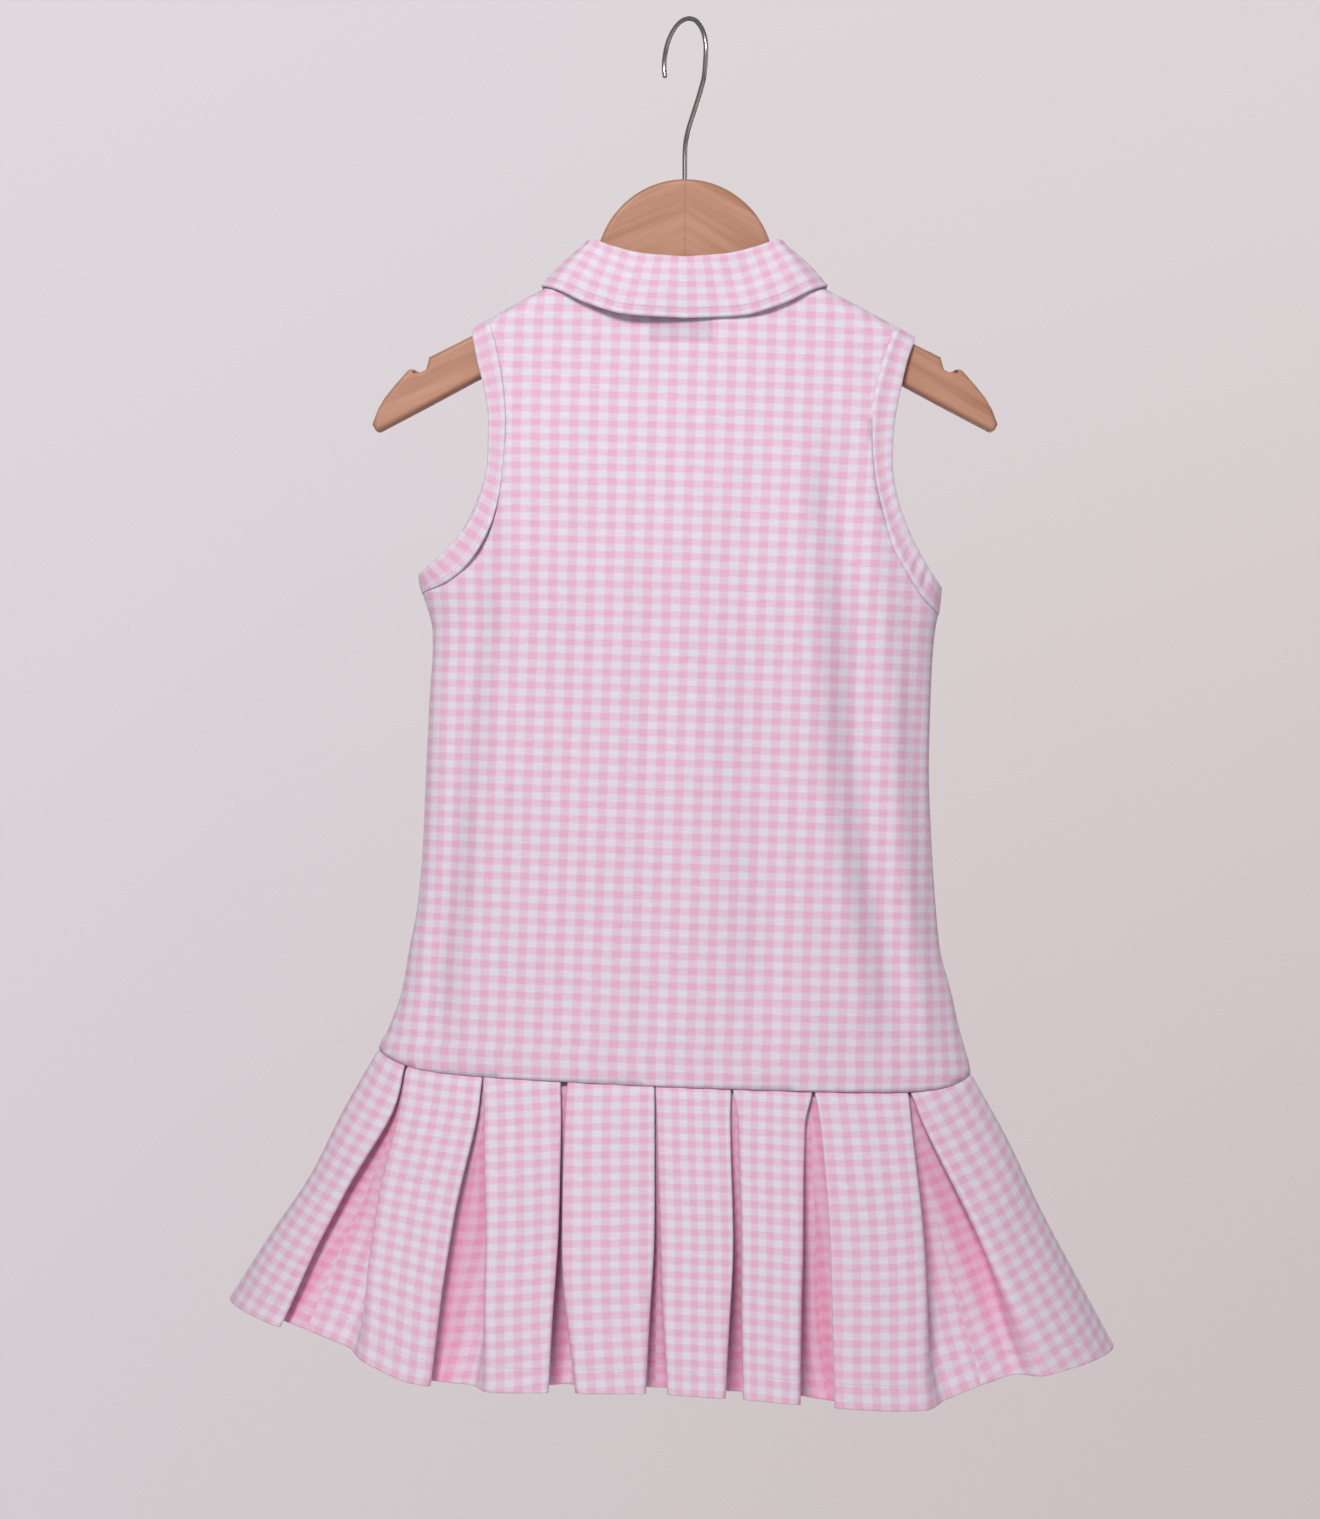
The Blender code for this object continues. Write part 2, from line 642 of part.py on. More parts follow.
def collar_lines(place, side_x):
    """Neck seam, fold and edge points of the collar at a place round one half."""
    side = -1 if place <= 1 else 1
    x = -between(COLLAR, place, 1)
    x = x if side_x > 0 else -x
    neck_z = neck_height(x, side)
    foot = body_point(turn_at(x, neck_z), neck_z, side, 0.0)
    foot.z += between(COLLAR, place, 2)
    crest = Vector([between(COLLAR, place, column) for column in (3, 4, 5)])
    edge = Vector([between(COLLAR, place, column) for column in (6, 7, 8)])
    if side_x > 0:
        crest.x, edge.x = -crest.x, -edge.x
    return foot, crest, edge


def collar_rows():
    rows = []
    places = [0, 0.12, 0.25, 0.38, 0.5, 0.62, 0.73, 0.82, 0.9, 0.96, 1.0, 1.04, 1.1, 1.18, 1.3, 1.45, 1.6,
              1.75, 1.88, 2.0]
    stations = [(p, -1) for p in reversed(places)] + [(p, 1) for p in places[1:]]
    for place, side_x in stations:
        foot, crest, edge = collar_lines(place, side_x)
        before = collar_lines(max(0, place - 0.03), side_x)[1]
        after = collar_lines(min(2, place + 0.03), side_x)[1]
        run = after - before
        out = Vector((run.y, -run.x, 0)).normalized()
        if out.dot(Vector((crest.x * 0.25, crest.y, 0))) < 0:
            out = -out
        roll = 2.0
        inner = crest - out * roll - Vector((0, 0, roll))
        outer = crest + out * roll - Vector((0, 0, roll))
        swell = out * 1.6
        rows.append(
            [
                foot,
                foot.lerp(inner, 0.35),
                foot.lerp(inner, 0.7),
                inner,
                crest - out * roll * 0.7 - Vector((0, 0, roll * 0.3)),
                crest,
                crest + out * roll * 0.7 - Vector((0, 0, roll * 0.3)),
                outer,
                outer.lerp(edge, 0.3) + swell * 0.9,
                outer.lerp(edge, 0.62) + swell,
                edge,
            ]
        )
    return rows


sheet("collar", collar_rows(), COLLAR_CLOTH, gingham_collar)


# Front placket with its buttons, and the label inside the back neck, laid on panel points.


def patch(name, side, left, right, top, low, out, thick, look, columns, lines):
    rows = []
    for j in range(lines + 1):
        z = mix(top, low, j / lines)
        rows.append([body_on(mix(left, right, k / columns), z, side, out) for k in range(columns + 1)])
    return sheet(name, rows, thick, look)


PLACKET_OUT = BODY_CLOTH / 2 + SEAM_GAP + PLACKET_CLOTH / 2
patch("placket", 1, -12, 12, -187.5, -297, PLACKET_OUT, PLACKET_CLOTH, gingham_placket, 4, 10)
LABEL_OUT = -(BODY_CLOTH / 2 + SEAM_GAP + LABEL_CLOTH / 2)
patch("neck_label", -1, -20, 15, -156.2, -178.5, LABEL_OUT, LABEL_CLOTH, label_white, 4, 3)

for number, z in enumerate((-199.0, -239.0, -279.0), start=1):
    out = PLACKET_OUT + PLACKET_CLOTH / 2 + SEAM_GAP
    base = body_on(0, z, 1, out)
    facing = (body_on(0, z, 1, out + 1) - base).normalized()
    mesh = bpy.data.meshes.new(f"button_{number}")
    bm = bmesh.new()
    bmesh.ops.create_cone(
        bm,
        cap_ends=True,
        segments=24,
        radius1=BUTTON_RADIUS * 0.001,
        radius2=BUTTON_RADIUS * 0.001,
        depth=BUTTON_THICK * 0.001,
    )
    turned = facing.to_track_quat("Z", "Y").to_matrix().to_4x4()
    bmesh.ops.transform(bm, matrix=turned, verts=bm.verts)
    bmesh.ops.translate(bm, vec=(base + facing * (BUTTON_THICK / 2)) * 0.001, verts=bm.verts)
    bm.to_mesh(mesh)
    bm.free()
    button = add_object(f"button_{number}", mesh, dress, button_look)
    soften = button.modifiers.new("rounded rim", "BEVEL")
    soften.width = 0.0006
    soften.segments = 2
    soften.limit_method = "ANGLE"


# Hanger board: one outline, given its thickness and rounded edges, drilled for the shank.

left_half = []
for step in range(0, 13):
    angle = math.radians(90 + step * 85 / 12)
    left_half.append(
        (
            CROWN_CENTRE[0] + CROWN_RADIUS * math.cos(angle),
            CROWN_CENTRE[1] + CROWN_RADIUS * math.sin(angle),
        )
    )
left_half += BOARD_SIDE
outline = left_half + [(0.0, -147.4)] + [(-x, z) for x, z in reversed(left_half[1:])]

mesh = bpy.data.meshes.new("hanger_board")
bm = bmesh.new()
near = [bm.verts.new((x * 0.001, -BOARD_THICK / 2 * 0.001, z * 0.001)) for x, z in outline]
face = bm.faces.new(near)
grown = bmesh.ops.extrude_face_region(bm, geom=[face])
moved = [item for item in grown["geom"] if isinstance(item, bmesh.types.BMVert)]
bmesh.ops.translate(bm, vec=(0, BOARD_THICK * 0.001, 0), verts=moved)
bmesh.ops.recalc_face_normals(bm, faces=bm.faces)
bm.to_mesh(mesh)
bm.free()
board = add_object("hanger_board", mesh, dress, wood)
edge = board.modifiers.new("rounded edges", "BEVEL")
edge.width = BOARD_EDGE * 0.001
edge.segments = 2
edge.limit_method = "ANGLE"
edge.angle_limit = math.radians(80)
edge.use_clamp_overlap = False

mesh = bpy.data.meshes.new("shank_hole")
bm = bmesh.new()
bmesh.ops.create_cone(
    bm, cap_ends=True, segments=16, radius1=0.0016, radius2=0.0016, depth=0.032
)
bmesh.ops.translate(bm, vec=(0, 0, -0.084), verts=bm.verts)
bm.to_mesh(mesh)
bm.free()
hole = add_object("shank_hole", mesh, cutters)
hole.hide_render = True
hole.display_type = "WIRE"
drill = board.modifiers.new("shank hole", "BOOLEAN")
drill.operation = "DIFFERENCE"
drill.solver = "EXACT"
drill.object = hole


# Hook: steel wire bent to a crook and let down into the crown, its plane turned from the board's.


def hook_line():
    middle = WIRE_RADIUS - HOOK_RADIUS
    line = [
        (HOOK_RADIUS * math.cos(math.radians(a)), middle + HOOK_RADIUS * math.sin(math.radians(a)))
        for a in range(196, 3, -12)
    ]
    rows = [(k, out, z) for k, (out, z) in enumerate(HOOK_NECK)]
    steps = 3
    for k in range(steps * (len(rows) - 1) + 1):
        line.append((between(rows, k / steps, 1), between(rows, k / steps, 2)))
    turn = math.radians(HOOK_TURN)
    return [Vector((out * math.cos(turn), -out * math.sin(turn), z)) for out, z in line]


path = hook_line()
shape = bpy.data.curves.new("hanger_hook", "CURVE")
shape.dimensions = "3D"
shape.bevel_depth = WIRE_RADIUS * 0.001
shape.bevel_resolution = 1
shape.use_fill_caps = True
spline = shape.splines.new("POLY")
spline.points.add(len(path) - 1)
for k, point in enumerate(path):
    spline.points[k].co = (*(point * 0.001), 1)
    spline.points[k].radius = 0.75 if k == 0 else 1.0
hook = add_object("hanger_hook", shape, dress, steel)
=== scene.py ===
"""Sleeveless golf dress of pink gingham knit, hanging on a child's wooden hanger.

Sizes are in millimetres in the tables and in metres in the scene. The origin is the inner top
of the hook, +Z is up, and the back of the dress faces -Y and the camera. Left is -X.
"""

import math

import bmesh
import bpy
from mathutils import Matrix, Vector, noise
from mathutils.geometry import delaunay_2d_cdt


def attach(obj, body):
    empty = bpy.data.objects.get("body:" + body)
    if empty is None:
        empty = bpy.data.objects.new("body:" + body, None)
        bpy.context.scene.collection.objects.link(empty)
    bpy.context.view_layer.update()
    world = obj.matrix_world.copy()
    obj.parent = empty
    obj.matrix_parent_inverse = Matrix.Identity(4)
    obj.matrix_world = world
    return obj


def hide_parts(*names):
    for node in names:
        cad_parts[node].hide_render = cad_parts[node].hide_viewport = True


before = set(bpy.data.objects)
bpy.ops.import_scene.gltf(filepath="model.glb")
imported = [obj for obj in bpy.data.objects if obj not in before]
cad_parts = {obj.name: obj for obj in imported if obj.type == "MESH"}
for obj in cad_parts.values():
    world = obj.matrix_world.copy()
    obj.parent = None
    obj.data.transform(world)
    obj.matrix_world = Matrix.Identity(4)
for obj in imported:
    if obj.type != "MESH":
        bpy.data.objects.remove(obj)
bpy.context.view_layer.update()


# The room: pale light all round, a pale round floor below the hanging dress, a broad window light
# from high in front, a little to the left, and two weaker lights that open the shadows.

CAMERA_PLACE = (-0.01375, -1.6, -0.4056)
CAMERA_LENS = 68.94
FLOOR_HEIGHT = -1.25
BACKDROP_LEFT = [(-0.26, (0.645, 0.597, 0.624)), (0.0, (0.705, 0.655, 0.686)), (0.26, (0.752, 0.701, 0.738))]
BACKDROP_RIGHT = [(-0.26, (0.578, 0.509, 0.509)), (0.0, (0.660, 0.578, 0.584)), (0.26, (0.730, 0.686, 0.701))]
LIGHTS = [
    ("window light", (-0.45, -1.9, 0.93), 0.7, 41.0, (1.0, 0.985, 0.97)),
    ("fill light", (1.9, -0.9, 0.0), 1.4, 3.0, (1.0, 0.98, 1.0)),
    ("back light", (0.5, 1.9, 0.2), 1.6, 18.0, (1.0, 0.98, 0.98)),
]
LIGHT_AIM = Vector((0, 0, -0.42))
ROOM_COLOUR = (0.96, 0.93, 1.0, 1)
ROOM_LIGHT = 0.26

camera = bpy.data.objects.new("camera", bpy.data.cameras.new("camera"))
camera.data.sensor_width = 36
camera.data.lens = CAMERA_LENS
camera.data.clip_end = 50
camera.location = CAMERA_PLACE
camera.rotation_euler = (math.pi / 2, 0, 0)
bpy.context.scene.collection.objects.link(camera)
bpy.context.scene.camera = camera
bpy.context.scene.view_settings.view_transform = "Standard"

for name, place, size, power, tint in LIGHTS:
    lamp = bpy.data.objects.new(name, bpy.data.lights.new(name, "AREA"))
    lamp.data.shape = "DISK"
    lamp.data.size = size
    lamp.data.energy = power
    lamp.data.color = tint
    lamp.location = place
    lamp.rotation_euler = (LIGHT_AIM - Vector(place)).to_track_quat("-Z", "Y").to_euler()
    bpy.context.scene.collection.objects.link(lamp)


def wire(tree, made, link_to, output=0, into=0):
    """Joins a node's output to another node's input."""
    tree.links.new(made.outputs[output], link_to.inputs[into])


def node(tree, kind, **settings):
    made = tree.nodes.new(kind)
    for key, value in settings.items():
        setattr(made, key, value)
    return made


def ramp(tree, stops, interpolation="LINEAR"):
    made = tree.nodes.new("ShaderNodeValToRGB")
    made.color_ramp.interpolation = interpolation
    while len(made.color_ramp.elements) < len(stops):
        made.color_ramp.elements.new(0.5)
    for element, (place, colour) in zip(made.color_ramp.elements, stops):
        element.position = place
        element.color = (*colour, 1)
    return made


world = bpy.data.worlds.new("pale room")
bpy.context.scene.world = world
world.use_nodes = True
tree = world.node_tree
tree.nodes.clear()
looking = node(tree, "ShaderNodeTexCoord")
ways = node(tree, "ShaderNodeSeparateXYZ")
wire(tree, looking, ways, "Generated")
height = node(tree, "ShaderNodeMapRange")
height.inputs["From Min"].default_value = -0.26
height.inputs["From Max"].default_value = 0.26
wire(tree, ways, height, "Z")
across = node(tree, "ShaderNodeMapRange")
across.inputs["From Min"].default_value = -0.24
across.inputs["From Max"].default_value = 0.24
wire(tree, ways, across, "X")
sides = []
for stops in (BACKDROP_LEFT, BACKDROP_RIGHT):
    side_ramp = ramp(tree, [((z + 0.26) / 0.52, colour) for z, colour in stops], "B_SPLINE")
    wire(tree, height, side_ramp)
    sides.append(side_ramp)
backdrop = node(tree, "ShaderNodeMix", data_type="RGBA")
wire(tree, across, backdrop, 0, 0)
wire(tree, sides[0], backdrop, 0, 6)
wire(tree, sides[1], backdrop, 0, 7)
shine = node(tree, "ShaderNodeBackground")
wire(tree, backdrop, shine, 2)
# The light that falls on the dress is weaker than the pale colour seen behind it.
room_light = node(tree, "ShaderNodeBackground")
room_light.inputs["Color"].default_value = ROOM_COLOUR
room_light.inputs["Strength"].default_value = ROOM_LIGHT
seen = node(tree, "ShaderNodeLightPath")
room = node(tree, "ShaderNodeMixShader")
wire(tree, seen, room, "Is Camera Ray", 0)
wire(tree, room_light, room, 0, 1)
wire(tree, shine, room, 0, 2)
wire(tree, room, node(tree, "ShaderNodeOutputWorld"))

floor_mesh = bpy.data.meshes.new("floor")
bm = bmesh.new()
bmesh.ops.create_circle(bm, cap_ends=True, segments=96, radius=1.9)
bmesh.ops.translate(bm, vec=(0, -0.3, FLOOR_HEIGHT), verts=bm.verts)
bm.to_mesh(floor_mesh)
bm.free()
floor = bpy.data.objects.new("floor", floor_mesh)
bpy.context.scene.collection.objects.link(floor)
floor_paint = bpy.data.materials.new("pale floor")
floor_paint.use_nodes = True
floor_paint.node_tree.nodes["Principled BSDF"].inputs["Base Color"].default_value = (0.74, 0.70, 0.71, 1)
floor_paint.node_tree.nodes["Principled BSDF"].inputs["Roughness"].default_value = 0.9
floor.data.materials.append(floor_paint)


# Back of the bodice: one cut piece of gingham knit from the shoulders down to the low waist. It
# hangs from the hanger's arms, and its long soft folds run down and out over the hips.

BODY_CLOTH = 0.9
SHOULDER_ROLL = 10.0
# Sections of the worn form. Columns: height z, left side x, right side x, half depth.
BODY = [
    (-590, -167.8, 156.5, 48.5),
    (-577.5, -167.8, 156.5, 48.0),
    (-564.3, -167.8, 153.4, 47.2),
    (-554, -162.8, 150.5, 46.6),
    (-532, -155.1, 145.5, 45.2),
    (-510, -151.2, 139.8, 43.8),
    (-488, -146.9, 137.5, 42.5),
    (-455, -143.8, 135.3, 40.5),
    (-411, -141.9, 133.7, 38.5),
    (-367, -139.7, 134.8, 36.5),
    (-345, -138.2, 136.0, 35.5),
    (-334, -138.4, 137.2, 35.0),
    (-323, -141.0, 139.3, 34.5),
    (-313, -144.2, 140.3, 34.0),
    (-304, -145.9, 141.0, 33.5),
    (-230, -143.0, 142.0, 24.0),
    (-170, -137.0, 145.0, 16.0),
    (-141, -136.0, 146.0, 13.5),
    (-100, -136.0, 146.0, 12.0),
]
# Line along the top of the shoulders, carried on over the neck. Columns: x, z.
RIDGE = [
    (-150, -190.0),
    (-116, -169.1),
    (-72.6, -144.9),
    (-56, -138.0),
    (0, -108.0),
    (56, -138.3),
    (78.7, -148.2),
    (126.5, -174.0),
    (150, -187.5),
]
# Neck seam. Columns: x, z of the back, z of the front.
NECK = [
    (-56, -138.0, -138.0),
    (-53, -141.6, -144.0),
    (-47, -145.3, -153.0),
    (-36, -149.6, -166.0),
    (-20, -153.0, -178.0),
    (0, -154.5, -185.0),
    (20, -153.0, -178.0),
    (36, -149.7, -166.0),
    (47, -145.5, -153.2),
    (53, -141.9, -144.3),
    (56, -138.3, -138.3),
]
# Armholes. Columns: share of the way down, seam x, outer x, extra outer x of the front.
ARM_LEFT = [
    (0.00, -108.2, -116.7, 0.0),
    (0.13, -103.5, -113.2, 0.0),
    (0.27, -99.9, -108.6, 0.5),
    (0.38, -98.6, -106.6, 0.5),
    (0.53, -99.6, -106.9, 1.0),
    (0.63, -101.3, -108.8, 3.5),
    (0.73, -104.8, -112.8, 5.0),
    (0.82, -110.7, -119.6, 4.5),
    (0.91, -120.3, -130.8, 2.5),
    (0.965, -131.1, -139.6, 1.0),
    (1.00, -144.2, -145.9, 0.0),
]
ARM_RIGHT = [
    (0.00, 116.7, 126.1, 0.0),
    (0.09, 110.9, 121.4, 0.0),
    (0.21, 105.3, 117.3, 0.5),
    (0.31, 102.3, 114.4, 0.5),
    (0.41, 101.6, 112.7, 0.5),
    (0.52, 102.7, 112.3, 1.0),
    (0.64, 106.7, 114.7, 2.0),
    (0.77, 113.2, 120.8, 2.0),
    (0.875, 122.3, 128.2, 1.0),
    (0.95, 130.5, 135.0, 0.5),
    (1.00, 139.1, 140.4, 0.0),
]
# Lowest heights of the armhole: of the seam and of the outer edge, by side.
ARM_LOW = {-1: (-313.4, -304.5), 1: (-324.9, -311.6)}
# Waist seam: height at the left side, at the right side, and how far the middle hangs lower.
WAIST_LEFT, WAIST_RIGHT, WAIST_DROP = -564.3, -577.5, 9.4
# Long soft folds. Columns: x and z of the top, the middle and the foot of the line, half width,
# depth (hollows are positive, ridges negative).
BACK_FOLDS = [
    (-109, -262, -121, -410, -139, -548, 9, 4.2),
    (-88, -245, -101, -410, -119, -548, 10, -3.0),
    (-52, -275, -59, -410, -62, -552, 14, 3.4),
    (-21, -300, -19, -430, -17, -550, 11, 2.6),
    (30, -262, 36, -421, 42, -548, 16, 2.8),
    (80, -246, 95, -410, 114, -548, 12, 5.0),
    (124, -362, 130, -460, 143, -558, 8, 2.4),
    (60, -240, 74, -410, 92, -545, 12, -3.0),
    (101, -225, 112, -410, 128, -545, 9, -2.0),
]
FRONT_FOLDS = [
    (-92, -255, -106, -400, -122, -545, 12, 4.4),
    (-45, -300, -52, -420, -60, -548, 13, 3.4),
    (32, -310, 36, -430, 40, -548, 13, 3.0),
    (86, -255, 95, -400, 112, -545, 12, 4.4),
    (-72, -240, -80, -400, -92, -548, 12, -2.4),
    (62, -245, 66, -400, 76, -548, 13, -2.4),
]
# Small creases of the visible cloth. Columns: x and z of both ends, half width, depth.
BACK_CREASES = [
    (-99, -300, -84, -352, 4.5, 0.5),
    (-108, -318, -95, -372, 5.0, 0.6),
    (106, -312, 92, -366, 4.5, 0.55),
    (118, -328, 104, -380, 5.0, 0.6),
    (-66, -172, -74, -214, 6.0, 0.35),
    (72, -172, 82, -216, 6.0, 0.35),
    (-134, -500, -142, -552, 5.0, 0.7),
    (-50, -470, -52, -545, 5.5, 0.45),
    (-8, -452, -6, -540, 6.0, 0.4),
    (4, -300, 5, -400, 6.5, 0.35),
    (40, -452, 44, -552, 5.5, 0.5),
    (74, -462, 82, -556, 5.5, 0.5),
    (126, -500, 136, -556, 5.0, 0.6),
    (-86, -420, -92, -500, 5.0, 0.4),
]
FRONT_CREASES = [
    (-100, -312, -86, -366, 5.0, 0.6),
    (104, -318, 90, -370, 5.0, 0.6),
    (-30, -452, -34, -548, 6.0, 0.5),
    (14, -330, 16, -440, 6.5, 0.4),
    (64, -470, 70, -550, 5.5, 0.5),
    (-96, -470, -104, -552, 5.5, 0.5),
]
REPEAT_ACROSS, REPEAT_DOWN = 10.25, 7.95
GRAIN_LEAN = 0.0326
ROW_LEAN = 0.030


def between(rows, at, column):
    """Value of a column at a place along the first column, on a smooth curve with no overshoot."""
    if at <= rows[0][0]:
        return rows[0][column]
    if at >= rows[-1][0]:
        return rows[-1][column]
    i = max(k for k in range(len(rows) - 1) if rows[k][0] <= at)

    def rise(k):
        return (rows[k + 1][column] - rows[k][column]) / (rows[k + 1][0] - rows[k][0])

    def slope(k):
        if k == 0:
            return rise(0)
        if k == len(rows) - 1:
            return rise(k - 1)
        a, b = rise(k - 1), rise(k)
        return 0.0 if a * b <= 0 else 2 * a * b / (a + b)

    step = rows[i + 1][0] - rows[i][0]
    t = (at - rows[i][0]) / step
    return (
        (2 * t**3 - 3 * t**2 + 1) * rows[i][column]
        + (t**3 - 2 * t**2 + t) * step * slope(i)
        + (3 * t**2 - 2 * t**3) * rows[i + 1][column]
        + (t**3 - t**2) * step * slope(i + 1)
    )


def mix(a, b, t):
    return a + (b - a) * t


def ease(t):
    t = max(0.0, min(1.0, t))
    return t * t * (3 - 2 * t)


def turn_at(x, z):
    """Angle round the half section, in degrees, at which the form has this x."""
    left, right = between(BODY, z, 1), between(BODY, z, 2)
    return math.degrees(math.asin(max(-1.0, min(1.0, (2 * x - left - right) / (right - left)))))


def fold_depth(folds, creases, x, z):
    """How far the long folds and the small creases sink the cloth at a point."""
    total = 0.0
    for x0, z0, x1, z1, x2, z2, width, depth in folds:
        if z > z0 + 30 or z < z2 - 30:
            continue
        line = mix(x0, x1, (z - z0) / (z1 - z0)) if z > z1 else mix(x1, x2, (z - z1) / (z2 - z1))
        fade = ease((z0 + 30 - z) / 60) * ease((z - z2 + 30) / 50)
        uneven = 1 + 0.22 * math.sin(z / 47 + x0) + 0.12 * math.sin(z / 19 + 2 * x0)
        wander = 1.6 * math.sin(z / 38 + 1.3 * x0)
        total += depth * fade * uneven * math.exp(-(((x - line - wander) / width) ** 2))
    for x0, z0, x1, z1, width, depth in creases:
        along = (z0 - z) / (z0 - z1)
        if -0.25 < along < 1.25:
            line = mix(x0, x1, along) + 1.2 * math.sin(z / 13 + x0)
            fade = ease((along + 0.25) / 0.5) * ease((1.25 - along) / 0.5)
            total += depth * fade * math.exp(-(((x - line) / width) ** 2))
    return total


def waist_height(turn):
    sine = math.sin(math.radians(turn))
    return mix(WAIST_LEFT, WAIST_RIGHT, (sine + 1) / 2) - WAIST_DROP * (1 - abs(sine) ** 12)


def body_point(turn, z, side, gap=0.05, plain=False):
    """Point of the bodice's middle surface: side -1 is the back and 1 the front."""
    left, right = between(BODY, z, 1), between(BODY, z, 2)
    x = (left + right) / 2 + (right - left) / 2 * math.sin(math.radians(turn))
    below = between(RIDGE, x, 1) - z
    roll = 1.0
    if below < SHOULDER_ROLL:
        roll = math.sqrt(max(0.0, 1 - (1 - max(0.0, below) / SHOULDER_ROLL) ** 2))
    round_off = max(0.0, math.cos(math.radians(turn)))
    depth = between(BODY, z, 3) * round_off * roll
    if not plain:
        folds, creases = (BACK_FOLDS, BACK_CREASES) if side < 0 else (FRONT_FOLDS, FRONT_CREASES)
        sunk = fold_depth(folds, creases, x, z) + 0.16 * math.sin(x / 2.9 + 3 * math.sin(z / 70))
        above_waist = z - waist_height(turn)
        gather = math.sin(x / 3.1 + 2 * math.sin(x / 21)) * math.exp(-((above_waist / 16) ** 2))
        depth -= sunk * min(1.0, 2 * round_off) * ease((z + 588) / 26) - 0.28 * gather * round_off
        depth -= 0.45 * math.exp(-((above_waist / 1.3) ** 2)) * min(1.0, 3 * round_off)
    return Vector((x, side * (gap + depth), z))


def add_piece(name, bm, looks, smooth=True):
    """Makes the object of a finished bmesh, links it and lets it ride on the one body."""
    mesh = bpy.data.meshes.new(name)
    for face in bm.faces:
        face.smooth = smooth
    bm.to_mesh(mesh)
    bm.free()
    made = bpy.data.objects.new(name, mesh)
    bpy.context.scene.collection.objects.link(made)
    for look in looks:
        mesh.materials.append(look)
    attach(made, "root")
    return made


def thicken(made, thick):
    wall = made.modifiers.new("cloth wall", "SOLIDIFY")
    wall.thickness = thick * 0.001
    wall.offset = 0
    wall.use_quality_normals = True


CLOTH_WHITE = (0.79, 0.745, 0.835)
CLOTH_HALF = (0.80, 0.61, 0.735)
CLOTH_PINK = (0.81, 0.475, 0.63)
# Painted fold shade: a deeper, darker pink multiplied into the skirt's colour where a fold hangs over it.
PAINTED_FOLD_SHADE_TINT = (1.05, 0.72, 0.83)


